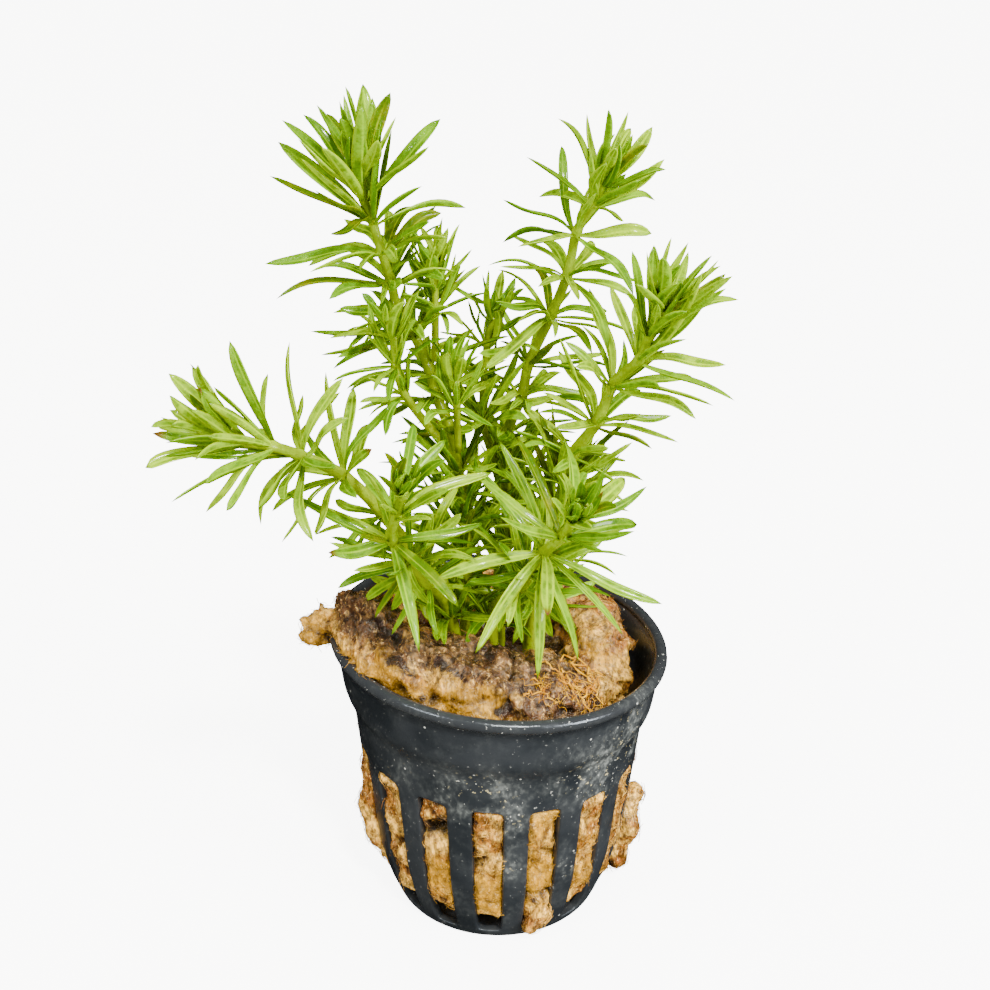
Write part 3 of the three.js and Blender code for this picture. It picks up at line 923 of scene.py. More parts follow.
    def sector(self) -> Piece:
        """Builds the part of the pot that repeats: two slots, two ribs and a drain slot."""
        draft = Draft()
        pitch = self.pitch_deg
        for cell in range(2):
            self.cell(draft, self.slot_phase_deg + cell * pitch)
        columns = [turn * pitch / 2 for turn in self.turns]
        columns += [pitch + turn * pitch / 2 for turn in self.turns[1:]]
        turns = np.radians(np.array(columns) + self.slot_phase_deg)
        opening = len(self.turns) - 3
        drain = range(opening, opening + 4)
        for outline in self.bands():
            radii, levels = np.array(outline).T
            places = np.stack(
                [
                    np.outer(np.sin(turns), radii),
                    np.outer(-np.cos(turns), radii),
                    np.tile(levels, (len(turns), 1)),
                ],
                axis=-1,
            ).reshape(-1, 3)
            count = len(outline)
            faces: Faces = []
            for column in range(len(turns) - 1):
                for row in range(count - 1):
                    spans = (radii[row], radii[row + 1])
                    hole = self.drain_inner <= min(spans) and max(spans) <= self.drain_outer
                    if hole and column in drain:
                        continue
                    low, high = column * count + row, (column + 1) * count + row
                    faces.append((low, high, high + 1, low + 1))
            rim = fade(levels, self.rim_colour_from, self.rim_colour_over)
            draft.add(places, faces, rim=np.tile(rim, len(turns)))
        self.line_drain(draft, turns[drain[0] : drain[-1] + 2])
        return draft.build("pot_sector")

    def line_drain(self, draft: Draft, turns: Array) -> None:
        """Adds the faces that line the drain slot through the floor.

        Args:
            draft: The mesh in the making.
            turns: The angles of the columns that the drain slot spans.
        """
        ring = [(turn, self.drain_inner) for turn in turns] + [(turns[-1], self.drain_middle)]
        ring += [(turn, self.drain_outer) for turn in turns[::-1]] + [(turns[0], self.drain_middle)]
        places = [
            (math.sin(turn) * reach, -math.cos(turn) * reach, level)
            for level in (0.0, self.floor)
            for turn, reach in ring
        ]
        draft.add(np.array(places), ring_faces(2, len(ring)), rim=0)

    def build(self, finish: PotPlastic) -> Piece:
        """Repeats the sector round the pot.

        Args:
            finish: The plastic.

        Returns:
            The finished pot.
        """
        sector = self.sector()
        repeats = self.cells // 2
        form = NodeForm("pot_of_sectors")
        form.take("Sector", "NodeSocketObject", sector)
        form.take("Sectors", "NodeSocketInt", repeats)
        form.take("Step angle", "NodeSocketFloat", 2 * math.pi / repeats)
        form.take("Weld distance", "NodeSocketFloat", 0.01 * MM)
        form.take("Plastic", "NodeSocketMaterial", finish.material())
        wire = form.wire
        spots = wire.out("GeometryNodePoints", {"Count": form.read("Sectors")})
        turn = wire.times(wire.out("GeometryNodeInputIndex"), form.read("Step angle"))
        rotation = wire.out("ShaderNodeCombineXYZ", {"Z": turn})
        copies = form.copies("Sector", {"Points": spots, "Rotation": rotation})
        given = {
            "Geometry": wire.out("GeometryNodeRealizeInstances", {0: copies}),
            "Distance": form.read("Weld distance"),
        }
        form.end(wire.out("GeometryNodeMergeByDistance", given), "Plastic")
        pot = form.run(Draft([np.zeros((3, 3))], [], {}, 3).build("net_pot_wall"))
        bpy.data.objects.remove(sector)
        self.settle(pot)
        return on_body(pot, Slot.POT, "net_pot")

    def settle(self, pot: Piece) -> None:
        """Leans the finished mesh, faces it outwards and keeps its sharp edges crisp."""
        mesh = pot.data
        face_outwards(mesh)
        move_points(mesh, self.lean(read_rows(mesh, "co") / MM))
        mesh.set_sharp_from_angle(angle=math.radians(self.sharp_deg))
        mesh.update()


@dataclass
class Roll:
    """A sausage of wool along a curve."""

    points: list[Point]
    radius: float

    def shell(self, around: int = 28, along: int = 40) -> tuple[Array, Faces]:
        """Places the roll's skin.

        Args:
            around: How many points each ring has.
            along: How many rings it has.

        Returns:
            Its points and faces.
        """
        angle = np.linspace(0.02, math.pi - 0.02, along)
        places = (1 - np.cos(angle)) / 2
        path = catmull(np.array(self.points, float), places)
        radii = self.radius * np.sqrt(np.sin(angle))
        return tube_points(path, radii, around, (0, 0, 1)), tube_faces(along, around)


@dataclass
class Lump:
    """A rounded bit of wool."""

    centre: Point
    size: Point
    turn_deg: float = 0

    def shell(self, around: int = 20, along: int = 14) -> tuple[Array, Faces]:
        """Places the lump's skin, as Roll.shell does."""
        angle = np.linspace(0.05, math.pi - 0.05, along)
        path = np.stack([0 * angle, 0 * angle, -np.cos(angle)], 1)
        ball = tube_points(path, np.sin(angle), around, (0, 1, 0)) * np.array(self.size)
        turn = math.radians(self.turn_deg)
        c, s = math.cos(turn), math.sin(turn)
        turned = ball @ np.array([[c, 0, -s], [0, 1, 0], [s, 0, c]])
        return turned + np.array(self.centre), tube_faces(along, around)


def crumple(points: Array, amount: float) -> Array:
    """Pushes points about by a slow wave, so that no side is even.

    Args:
        points: The points, one in each row.
        amount: How far they move at most along each axis.

    Returns:
        The moved points.
    """
    x, y, z = points.T
    wave = [np.sin(0.55 * y + 0.9 * z), np.sin(0.62 * z + 0.8 * x), np.sin(0.58 * x + 0.85 * y)]
    return points + amount * np.stack(wave, 1)


@dataclass(frozen=True)
class Mark:
    """A place on the wool with a colour of its own."""

    place: Point
    reach: float
    strength: float


def marks(*rows: tuple[float, ...]) -> list[Mark]:
    """Makes marks from rows of x, y, z, reach and strength."""
    return [Mark(tuple(row[:3]), row[3], row[4]) for row in rows]


@dataclass(frozen=True)
class Relief:
    """How high each kind of unevenness stands on the wool, and how fine it is."""

    lump_height: float = 0.75
    lump_scale: float = 0.2
    fold_depth: float = 0.4
    fold_scale: float = 0.3
    fold_narrowness: float = 3.4
    pleat_height: float = 0.34
    pleat_scale: Point = (0.95, 0.3, 0.3)
    strand_height: float = 0.16
    strand_scale: float = 1.7
    hair_height: float = 0.1
    hair_scale: Point = (3.4, 2.2, 1.4)
    roll_from: float = 34
    share_on_plug: float = 0.45
    share_on_roll: float = 1.35
    crease_reach: float = 0.8
    deep_from: float = 0.35
    deep_over: float = 1.1

    def at(self, x: float, y: float, z: float, seed: float) -> float:
        """Reads the unevenness at one point.

        Args:
            x: How far right the point lies.
            y: How far back it lies.
            z: Its height.
            seed: Moves the pattern, so that two pieces differ.

        Returns:
            How far the point stands out, in millimetres.
        """
        place = Vector((x, y, z + seed))
        wide, deep, tall = self.pleat_scale
        across, back, up = self.hair_scale
        lumps = noise.fractal(place * self.lump_scale, 0.8, 2.1, 4)
        folds = 1 - abs(noise.noise(place * self.fold_scale + Vector((7, 3, 1)))) * self.fold_narrowness
        pleats = noise.noise(Vector((x * wide, y * deep, z * tall)) + Vector((2, 9, 4)))
        strands = noise.noise(place * self.strand_scale)
        hair = noise.noise(Vector((x * across, y * back, z * up)))
        return (
            self.lump_height * lumps
            - self.fold_depth * max(0.0, folds) ** 3
            + self.pleat_height * pleats
            + self.strand_height * strands
            + self.hair_height * hair
        )


@dataclass(frozen=True)
class TornZone:
    """Where bits of the wool may lie outside the pot."""

    tuft_left_of: float = -22
    tuft_middle: float = -3.6
    tuft_half: float = 4.2
    tuft_above: float = 38
    slots_below: float = 32
    stands_out_by: float = 0.3

    def split(self, skin: Array, outer: Array) -> tuple[Array, Array]:
        """Finds the torn bits.

        Args:
            skin: The wool's points.
            outer: The pot's outside radius at each of them.

        Returns:
            Whether each point is in the tuft over the rim, and whether it stands out of the pot.
        """
        x, y, z = skin.T
        tuft = (x < self.tuft_left_of) & (np.abs(y - self.tuft_middle) < self.tuft_half)
        tuft &= z > self.tuft_above
        outside = np.hypot(x, y) > outer + self.stands_out_by
        return tuft, outside & (tuft | (z < self.slots_below))


@dataclass(frozen=True)
class Fibres:
    """Loose fibres on the wool: their number for each square metre and their form in millimetres."""

    density: float = 1.6e6
    length: float = 1.6
    radius: float = 0.025
    sway: float = 0.25
    arch: float = 0.18
    sunk: float = 0.03
    smallest: float = 0.5
    largest: float = 1.8
    tilt: float = 0.35
    turn: float = 6.283

    def strand(self) -> Piece:
        """Makes one bent fibre."""
        t = np.linspace(0, 1, 4)
        rise = self.arch * np.sin(t * math.pi) - self.sunk
        path = np.stack([t * self.length - self.length / 2, self.sway * np.sin(t * 3), rise], 1)
        draft = Draft()
        draft.tube(path, np.full(len(t), self.radius), 3, (0, 0, 1))
        return draft.build("wool_fibre")


@dataclass
class WoolHalf:
    """One half of the mineral wool that is folded round the stems."""

    name: str
    node: str
    side: int
    roll: Roll
    lumps: list[Lump]
    stains: list[Mark]
    golds: list[Mark]
    mauves: list[Mark]
    creases: list[tuple[Point, Point, float]]
    parting_deg: float = -12
    gap: float = 0.4
    flush: float = 0.12
    proud: float = 0.5
    voxel: float = 0.48
    plug: tuple[tuple[float, float], ...] = (
        (3.2, 0), (3.4, 14), (5, 16.9), (9, 18.6), (13, 19.5),
        (20, 20.2), (27, 20.6), (33, 19.6), (38.5, 17), (39, 0),
    )
    plug_rings: int = 40
    plug_sides: int = 48
    seed: float = 0
    unevenness: Relief = Relief()
    torn: TornZone = TornZone()
    fibres: Fibres = Fibres()

    def plug_part(self) -> Piece:
        """Makes this half of the plug that fills the pot, cut off at the parting."""
        levels, radii = np.array(self.plug, float).T
        turns = np.linspace(0, 2 * math.pi, self.plug_sides + 1)[:-1]
        fine, coarse = np.linspace(0, 1, self.plug_rings), np.linspace(0, 1, len(levels))
        heights = np.interp(fine, coarse, levels)
        reach = np.maximum(np.interp(fine, coarse, radii), 0.05)
        rings = np.stack(
            [
                np.outer(reach, np.cos(turns)),
                np.outer(reach, np.sin(turns)),
                np.repeat(heights[:, None], len(turns), 1),
            ],
            -1,
        ).reshape(-1, 3)
        draft = Draft()
        draft.add(crumple(rings, 0.5), tube_faces(len(fine), len(turns)))
        part = draft.build(self.name)
        form = bmesh.new()
        form.from_mesh(part.data)
        turn = math.radians(self.parting_deg)
        normal = Vector((-math.sin(turn), math.cos(turn), 0)) * self.side
        cut = bmesh.ops.bisect_plane(
            form,
            geom=form.verts[:] + form.edges[:] + form.faces[:],
            plane_co=normal * self.gap / 2 * MM,
            plane_no=normal,
            clear_inner=True,
        )
        rim = [edge for edge in cut["geom_cut"] if isinstance(edge, bmesh.types.BMEdge)]
        bmesh.ops.edgeloop_fill(form, edges=rim)
        form.to_mesh(part.data)
        form.free()
        return part

    def torn_part(self) -> Piece:
        """Makes the roll on top and the lumps that are torn out."""
        draft = Draft()
        for shell, amount in [(self.roll.shell(), 0.6)] + [(lump.shell(), 0.5) for lump in self.lumps]:
            draft.add(crumple(shell[0], amount), shell[1])
        return draft.build("wool_torn")

    def shell(self) -> Piece:
        """Joins the plug, the roll and the lumps into one skin."""
        body, added = self.plug_part(), self.torn_part()
        merged = bmesh.new()
        for part in (body, added):
            face_outwards(part.data)
            merged.from_mesh(part.data)
        merged.to_mesh(body.data)
        merged.free()
        bpy.data.objects.remove(added)
        remesh = body.modifiers.new("one_skin", "REMESH")
        remesh.mode = "VOXEL"
        remesh.voxel_size = self.voxel * MM
        remesh.use_smooth_shade = True
        return baked(body)

    def relief(self, points: Array, normals: Array) -> tuple[Array, Array]:
        """Works the surface into folds, lumps and strands.

        Args:
            points: The skin's points in millimetres.
            normals: Their outward directions.

        Returns:
            The moved points, and how deep each lies in a fold, from 0 to 1.
        """
        form = self.unevenness
        height = np.array([form.at(x, y, z, self.seed) for x, y, z in points])
        height *= np.where(points[:, 2] < form.roll_from, form.share_on_plug, form.share_on_roll)
        for low, high, depth in self.creases:
            start, end = np.array(low, float), np.array(high, float)
            along = np.clip(((points - start) @ (end - start)) / np.sum((end - start) ** 2), 0, 1)
            away = np.linalg.norm(points - (start + along[:, None] * (end - start)), axis=1)
            height -= depth * np.exp(-((away / form.crease_reach) ** 2))
        return points + normals * height[:, None], fade(-height, form.deep_from, form.deep_over)

    def held(self, points: Array, skin: Array, pot: NetPot) -> Array:
        """Keeps the wool off the pot's wall, rim and ribs.

        Args:
            points: The worked points before the pot's lean.
            skin: The same points before they were worked, which tell the torn bits outside the pot.
            pot: The pot.

        Returns:
            The points, pushed clear of the plastic.
        """
        clear = self.gap * 0.75
        wall_top = pot.outline[-1][0]
        spread = np.hypot(points[:, 0], points[:, 1])
        skin_spread = np.hypot(skin[:, 0], skin[:, 1])
        outer = pot.radius(np.clip(points[:, 2], 0, wall_top))
        tuft, stands_out = self.torn.split(skin, pot.radius(np.clip(skin[:, 2], 0, wall_top)))
        levels, radii = np.array(self.plug, float).T
        # Behind a slot the plug swells to the wall's outside, and elsewhere it stays within the wall.
        in_slot = pot.depth_in_slot(points)
        opened = fade(in_slot, -0.02, 0.22) * fade(skin[:, 2], 3.6, 2)
        on_plug = ~stands_out & (np.abs(skin_spread - np.interp(skin[:, 2], levels, radii)) < 0.8)
        reach = outer - self.flush - np.interp(points[:, 2], levels, radii)
        kept = np.where(on_plug, spread + opened * np.maximum(reach, 0), spread)
        bulge = self.proud * fade(in_slot, 0.4, 0.8) - 0.08
        limit = outer - pot.wall - clear + opened * (pot.wall + clear + bulge)
        under_rim = points[:, 2] < pot.height - 0.4
        kept = np.where(under_rim & (kept > limit) & ~stands_out, limit, kept)
        kept = np.where(~under_rim & ~tuft, np.minimum(kept, pot.rim_radius - 0.5), kept)
        kept = np.where(under_rim & stands_out & (opened <= 0), np.maximum(kept, outer + clear), kept)
        moved = points.copy()
        moved[:, :2] *= (kept / np.maximum(spread, 1e-6))[:, None]
        return self.off_bead(moved, pot, clear)

    def off_bead(self, points: Array, pot: NetPot, clear: float) -> Array:
        """Pushes points away from the pot's rolled rim.

        Args:
            points: The points, one in each row.
            pot: The pot.
            clear: How far they stay away from it.

        Returns:
            The moved points.
        """
        moved = points.copy()
        bead, level = pot.bead
        over = np.hypot(moved[:, 0], moved[:, 1])
        out, up = over - bead, moved[:, 2] - level
        far = np.hypot(out, up)
        near = far < pot.bead_radius + clear
        push = np.where(near, (pot.bead_radius + clear) / np.maximum(far, 1e-3), 1)
        ring = (bead + out * push) / np.maximum(over, 1e-6)
        moved[:, :2] *= np.where(near, ring, 1)[:, None]
        moved[:, 2] = np.where(near, level + up * push, moved[:, 2])
        return moved

    def colour_by(self, points: Array, marks: list[Mark]) -> Array:
        """Reads how strongly the marks colour each point, from 0 to 1."""
        total = np.zeros(len(points))
        fineness = 2.3
        torn = crumple(crumple(points, 0.8) * fineness, 1.4) / fineness
        for mark in marks:
            away = np.linalg.norm(torn - np.array(mark.place), axis=1)
            total += mark.strength * np.exp(-((away / mark.reach) ** 2))
        return np.clip(total, 0, 1)

    def build(self, pot: NetPot, finish: Material) -> Piece:
        """Makes the half with its relief, colours and loose fibres.

        Args:
            pot: The pot that holds it.
            finish: The wool's material.

        Returns:
            The finished half.
        """
        body = self.shell()
        mesh = body.data
        points = read_rows(mesh, "co") / MM
        moved, deep = self.relief(points, read_rows(mesh, "normal"))
        move_points(mesh, pot.lean(self.held(moved, points, pot)))
        for name, values in self.layers(points, deep, pot).items():
            write_layer(mesh, name, values)
        mesh.update()
        mesh.materials.clear()
        mesh.materials.append(finish)
        self.fray(body, finish)
        return on_body(body, Slot.WOOL, self.node)

    def layers(self, points: Array, deep: Array, pot: NetPot) -> dict[str, Array]:
        """Gives the numbers that the finish and the fibres read at each point.

        Args:
            points: The skin's points in millimetres.
            deep: How deep each lies in a fold.
            pot: The pot that holds the wool.

        Returns:
            The layers by name: depth, which paints shade into folds and the dip between the stems; stain,
                gold, mauve, and whether the point can be seen.
        """
        x, _, z = points.T
        spread = np.hypot(*points[:, :2].T)
        is_front = self.side < 0
        # Painted shade: the dip between the stems, under the leaves, is dark.
        shade_under_leaves = fade(z, 41.5, -2.5) * (z > 34) * (spread < 16)
        # The front roll is darker and greyer on top and more golden towards its left foot.
        crown = fade(z, 45.2, 3) * is_front * 0.6
        foot = fade(z, 45.8, -2.2) * (z > 38) * is_front * 0.7 * fade(x, 2, -2.5)
        return {
            "depth": np.clip(deep + shade_under_leaves, 0, 1),
            "stain": self.colour_by(points, self.stains),
            "gold": np.clip(self.colour_by(points, self.golds) + foot, 0, 1),
            "mauve": np.clip(self.colour_by(points, self.mauves) + crown, 0, 1),
            "seen": (z > 41) | (spread > 17.5) & (pot.depth_in_slot(points) > -0.3),
        }

    def fray(self, body: Piece, finish: Material) -> None:
        """Scatters loose fibres over the skin.

        Args:
            body: The wool's skin, which keeps its shape and gains the fibres.
            finish: The fibres' material.
        """
        hair = self.fibres
        strand = hair.strand()
        form = NodeForm(self.name + "_fibres")
        form.take("Fibre", "NodeSocketObject", strand)
        form.take("Density", "NodeSocketFloat", hair.density)
        form.take("Smallest", "NodeSocketFloat", hair.smallest)
        form.take("Largest", "NodeSocketFloat", hair.largest)
        form.take("Seed", "NodeSocketInt", 7 + int(self.seed))
        form.take("Wool", "NodeSocketMaterial", finish)
        wire = form.wire
        skin, seed = form.read("Geometry"), form.read("Seed")
        seen = wire.out("GeometryNodeInputNamedAttribute", {"Name": "seen"}, data_type="FLOAT")
        density = wire.times(form.read("Density"), seen)
        spots = wire.add(
            "GeometryNodeDistributePointsOnFaces",
            {"Mesh": skin, "Density": density, "Seed": seed},
        )
        spin = wire.out(
            "FunctionNodeRandomValue",
            {0: (-hair.tilt, -hair.tilt, 0), 1: (hair.tilt, hair.tilt, hair.turn), "Seed": seed},
            data_type="FLOAT_VECTOR",
        )
        turned = wire.out(
            "FunctionNodeRotateRotation",
            {0: spots.outputs["Rotation"], 1: spin},
            rotation_space="LOCAL",
        )
        size = wire.add(
            "FunctionNodeRandomValue",
            {2: form.read("Smallest"), 3: form.read("Largest"), "Seed": seed},
            data_type="FLOAT",
        )
        strands = form.copies(
            "Fibre",
            {"Points": spots.outputs["Points"], "Rotation": turned, "Scale": size.outputs[1]},
        )
        joined = wire.add("GeometryNodeJoinGeometry", {0: strands})
        wire.tree.links.new(skin, joined.inputs[0])
        form.end(wire.out("GeometryNodeRealizeInstances", {0: joined.outputs[0]}), "Wool")
        form.run(body)
        bpy.data.objects.remove(strand)


@dataclass
class Joint:
    """A joint of a stem: where it sits, and how far its leaves' tips lie to the right, away and up."""

    at: Point
    tips: tuple[Point, ...]


@dataclass
class Clearance:
    """Keeps the leaves of one shoot clear of the others, and of the wool."""

    leaf_gap: float = 0.75
    turns_deg: tuple[float, ...] = (0, 9, -9, 18, -18, 27, -27, 36, -36)
    shares: tuple[float, ...] = (1, 0.85, 0.7, 0.55)
    points: list[Array] = field(default_factory=list)
    reaches: list[Array] = field(default_factory=list)
    owners: list[Array] = field(default_factory=list)

    def claim(self, points: Array, reach: float, owner: int) -> None:
        """Keeps others away from some points.

        Args:
            points: The points, one in each row.
            reach: How near others may come.
            owner: The number of the shoot that they belong to.
        """
        self.points.append(points)
        self.reaches.append(np.full(len(points), reach))
        self.owners.append(np.full(len(points), owner))

    def is_clear(self, points: Array, owner: int) -> bool:
        """Says whether some points keep away from what others have claimed."""
        if not self.points:
            return True
        taken = np.concatenate(self.points)
        other = np.concatenate(self.owners) != owner
        if not other.any():
            return True
        reach = np.concatenate(self.reaches)[other]
        away = np.linalg.norm(points[:, None] - taken[other][None], axis=-1)
        return bool((away > reach[None]).all())


@dataclass
class Blade:
    """The form of one leaf: a narrow blade with a channel above and a keel below."""

    half_width: float = 0.86
    arch: float = 0.14
    arch_fade: float = 1.3
    root: float = 0.7
    rows: int = 12
    across: tuple[float, ...] = (-1, -0.55, 0, 0.55, 1, 0.5, 0, -0.5)
    rise: tuple[float, ...] = (0.34, 0.16, -0.08, 0.16, 0.34, -0.04, -0.32, -0.04)

    def controls(self, place: Array, tip: Array, axis: Array) -> Array:
        """Gives the three points that steer the leaf's midrib.

        A leaf that stands out or hangs arches over, and an upright one is straight.

        Args:
            place: The joint that it grows from.
            tip: How far its tip lies from the joint.
            axis: The stem's direction there.

        Returns:
            Its root, its middle and its tip.
        """
        length = np.linalg.norm(tip)
        arch = self.arch * min(1.2, max(-0.2, 1 - self.arch_fade * (tip @ axis) / length))
        middle = place + 0.45 * tip + axis * arch * length
        return np.stack([place - axis * self.root, middle, place + tip])

    def line(self, controls: Array, places: Array) -> Array:
        """Reads the midrib at places from 0 to 1."""
        t = places[:, None]
        return (1 - t) ** 2 * controls[0] + 2 * t * (1 - t) * controls[1] + t**2 * controls[2]

    def grow(self, draft: Draft, controls: Array, axis: Array, look: "LeafLook") -> None:
        """Adds one leaf to a mesh.

        Args:
            draft: The mesh in the making.
            controls: The midrib's three points.
            axis: The stem's direction at the leaf.
            look: The leaf's own width, form and colour.
        """
        t = np.linspace(0, 1, self.rows + 1)[:-1] ** 0.85
        centre = self.line(controls, t)
        early, late = controls[1] - controls[0], controls[2] - controls[1]
        tangent = unit(2 * (1 - t)[:, None] * early + 2 * t[:, None] * late)
        side = unit(np.cross(axis[None], tangent))
        under = np.cross(side, tangent)
        centre = centre + side * (look.sway * np.sin(t * math.pi))[:, None]
        centre = centre + axis * (look.wave * np.sin(t * 2 * math.pi))[:, None]
        angle = (look.twist * t)[:, None]
        c, s = np.cos(angle), np.sin(angle)
        side, under = side * c + under * s, under * c - side * s
        swelling = 0.3 + 0.7 * np.sin(np.clip(t / look.widest, 0, 1) * math.pi / 2)
        ending = fade(t, look.widest, 1 - look.widest)
        half = self.half_width * look.width * swelling * (1 - ending**look.bluntness) ** 0.75
        across = np.array(self.across)
        rise = np.array(self.rise)
        rings = (
            centre[:, None]
            + side[:, None] * (across[None, :, None] * half[:, None, None])
            - under[:, None] * (rise[None, :, None] * half[:, None, None])
        )
        sides = len(across)
        points = np.vstack([rings.reshape(-1, 3), controls[2][None]])
        tip = len(points) - 1
        last = tip - sides
        faces: Faces = [(a, d, c, b) for a, b, c, d in ring_faces(self.rows, sides)]
        faces += [(last + k, tip, last + (k + 1) % sides) for k in range(sides)]
        faces.append(tuple(range(sides)))
        draft.add(
            points,
            faces,
            across=np.append(np.tile(np.abs(across), self.rows), 0.5),
            along=np.append(np.repeat(t, sides), 1),
            tint=look.tint,
            brown=look.brown,
            bark=0,
        )


@dataclass(frozen=True)
class LeafLook:
    """What sets one leaf apart from the next."""

    width: float
    twist: float
    sway: float
    wave: float
    widest: float
    bluntness: float
    tint: float
    brown: float = 0

    @staticmethod
    def of_chance(
        rng: np.random.Generator,
        width: float,
        tone: tuple[float, float],
        blunt: tuple[float, float] = (1.8, 3.0),
    ) -> "LeafLook":
        """Draws a leaf's look.

        Args:
            rng: The shoot's own random numbers.
            width: The usual width at this joint.
            tone: The range of the shoot's brightness, from 0 to 1.
            blunt: The range of how blunt the tips are.

        Returns:
            The look.
        """
        olive_share, scorched_share = 0.06, 0.015
        return LeafLook(
            width=width * rng.uniform(0.72, 1.12),
            twist=rng.uniform(-1.1, 1.1),
            sway=rng.uniform(-1.0, 1.0),
            wave=rng.uniform(-0.6, 0.6),
            widest=rng.uniform(0.42, 0.66),
            bluntness=rng.uniform(*blunt),
            tint=rng.uniform(*tone) if rng.random() > olive_share else 0.0,
            brown=float(rng.random() < scorched_share),
        )


@dataclass(frozen=True)
class Bud:
    """The small leaves that close a shoot."""

    count: int = 7
    length: float = 7
    spread: float = 0.34
    curl: float = 0.2
    width: float = 0.7


@dataclass
class Shoot:
    """A stem with its whorls of leaves. Each row is a joint's place and its leaves' tips."""

    name: str
    number: int
    stem: tuple[float, float]
    rows: list[tuple[Point, ...]]
    widths: tuple[float, float] = (0.75, 1.0)
    bare: int = 1
    whorl: int = 9
    tone: tuple[float, float] = (0.1, 1.0)
    blunt: tuple[float, float] = (2.0, 3.6)
    bud: Bud = field(default_factory=Bud)
    leafless: float = 44
    upright_rise: float = 0.8
    upright_length: float = 13
    level_rise: float = 0.3
    level_length: float = 12
    ring_leaves: int = 8
    crown_joints: int = 3
    crown_whorl: int = 9
    crown_rise: float = 0.87
    rises: tuple[float, float] = (0.1, 0.85)
    unseen_width: float = 0.85
    stem_sides: int = 12
    stem_rings: int = 7
    swelling: float = 0.22
    swelling_reach: float = 0.12
    ridges: int = 4
    ridge_height: float = 0.07

    @property
    def joints(self) -> list[Joint]:
        """The stem's joints from its root to its tip."""
        return [Joint(row[0], row[1:]) for row in self.rows]

    def places(self) -> Array:
        """The joints' places, one in each row."""
        return np.array([one.at for one in self.joints], float)

    def axis(self, index: int) -> Array:
        """The stem's direction at a joint."""
        places = self.places()
        return unit(places[min(len(places) - 1, index + 1)] - places[max(0, index - 1)])

    def claim_stem(self, room: Clearance) -> None:
        """Keeps other shoots' leaves off the stem."""
        places = self.places()
        for low, high in zip(places, places[1:]):
            share = np.linspace(0, 1, 9)[:, None]
            room.claim(low + share * (high - low), self.stem[0] + 0.8, self.number)

    def grow_stem(self, draft: Draft) -> None:
        """Adds the stem, thicker at its joints and with faint ridges."""
        places = self.places()
        last = len(places) - 1
        share = np.linspace(0, 1, last * self.stem_rings + 1)
        path = catmull(places, share)
        nearest = np.round(share * last)
        away = np.abs(share * last - nearest)
        leafy = np.array([bool(one.tips) for one in self.joints])[nearest.astype(int)]
        swollen = 1 + self.swelling * leafy * np.exp(-((away / self.swelling_reach) ** 2))
        radii = np.interp(share, [0, 1], self.stem) * swollen
        sides = self.stem_sides
        points = tube_points(path, radii, sides, (0, 1, 0)).reshape(len(path), sides, 3)
        ridge = 1 + self.ridge_height * np.cos(self.ridges * np.arange(sides) * 2 * math.pi / sides)
        points = path[:, None] + (points - path[:, None]) * ridge[None, :, None]
        young = np.repeat(np.clip(share * 1.2, 0, 1), sides)
        draft.add(
            points.reshape(-1, 3),
            tube_faces(len(path), sides),
            across=0.6,
            along=0.4,
            tint=0.5 + 0.4 * young,
            brown=0,
            bark=1 - 0.55 * young,
        )

    def leaves_at(self, index: int) -> list[tuple[Array, bool]]:
        """Lists the leaves of one whorl: those that are seen, and the rest in the wide gaps between.

        Args:
            index: The joint's number.

        Returns:
            How far each tip lies from the joint, and whether the leaf is one that is seen.
        """
        axis = self.axis(index)
        east = unit(np.cross([0, 1, 0], axis))
        north = np.cross(axis, east)
        here = self.joints[index]
        if not here.tips:
            if index < self.bare or here.at[2] < self.leafless:
                return []
            rings = []
            upright = (self.upright_rise, self.upright_length)
            for rise, length in (upright, (self.level_rise, self.level_length)):
                turns = 2 * math.pi * np.arange(self.ring_leaves) / self.ring_leaves + here.at[2] + rise
                around = east * np.cos(turns)[:, None] + north * np.sin(turns)[:, None]
                out = around * math.sqrt(1 - rise**2)
                rings.extend((tip * length, False) for tip in out + axis * rise)
            return rings
        tips = [np.array(tip, float) for tip in here.tips]
        seen = sorted(((math.atan2(tip @ north, tip @ east), i) for i, tip in enumerate(tips)))
        length = sum(np.linalg.norm(tip) for tip in tips) / len(tips)
        lowest, highest = self.rises
        rise = min(highest, max(lowest, sum(tip @ axis for tip in tips) / len(tips) / length))
        whorl = self.whorl
        if index >= len(self.joints) - self.crown_joints:
            rise, whorl = max(rise, self.crown_rise), min(whorl, self.crown_whorl)
        out = math.sqrt(1 - rise * rise) * length
        leaves = []
        for place, (turn, i) in enumerate(seen):
            leaves.append((tips[i], True))
            follower = seen[place + 1][0] if place + 1 < len(seen) else seen[0][0] + 2 * math.pi
            hidden = round((follower - turn) * whorl / (2 * math.pi)) - 1
            for k in range(1, hidden + 1):
                angle = turn + (follower - turn) * k / (hidden + 1)
                tip = east * math.cos(angle) * out + north * math.sin(angle) * out + axis * rise * length
                leaves.append((tip, False))
        return leaves

    def fit(self, room: Clearance, blade: Blade, index: int, tip: Array) -> Array | None:
        """Turns or shortens a leaf until it is clear of the other shoots.

        Args:
            room: What has been claimed so far.
            blade: The leaf's form.
            index: The joint's number.
            tip: How far the tip lies from the joint.

        Returns:
            The midrib's three points, or None where the leaf has no room.
        """
        axis = self.axis(index)
        place = self.places()[index]
        for share in room.shares:
            for turn_deg in room.turns_deg:
                turn = Matrix.Rotation(math.radians(turn_deg), 3, Vector(axis))
                turned = np.array(turn @ Vector(tip * share))
                controls = blade.controls(place, turned, axis)
                points = blade.line(controls, np.linspace(0, 1, 15))
                if room.is_clear(points, self.number):
                    room.claim(points, room.leaf_gap, self.number)
                    return controls
        return None

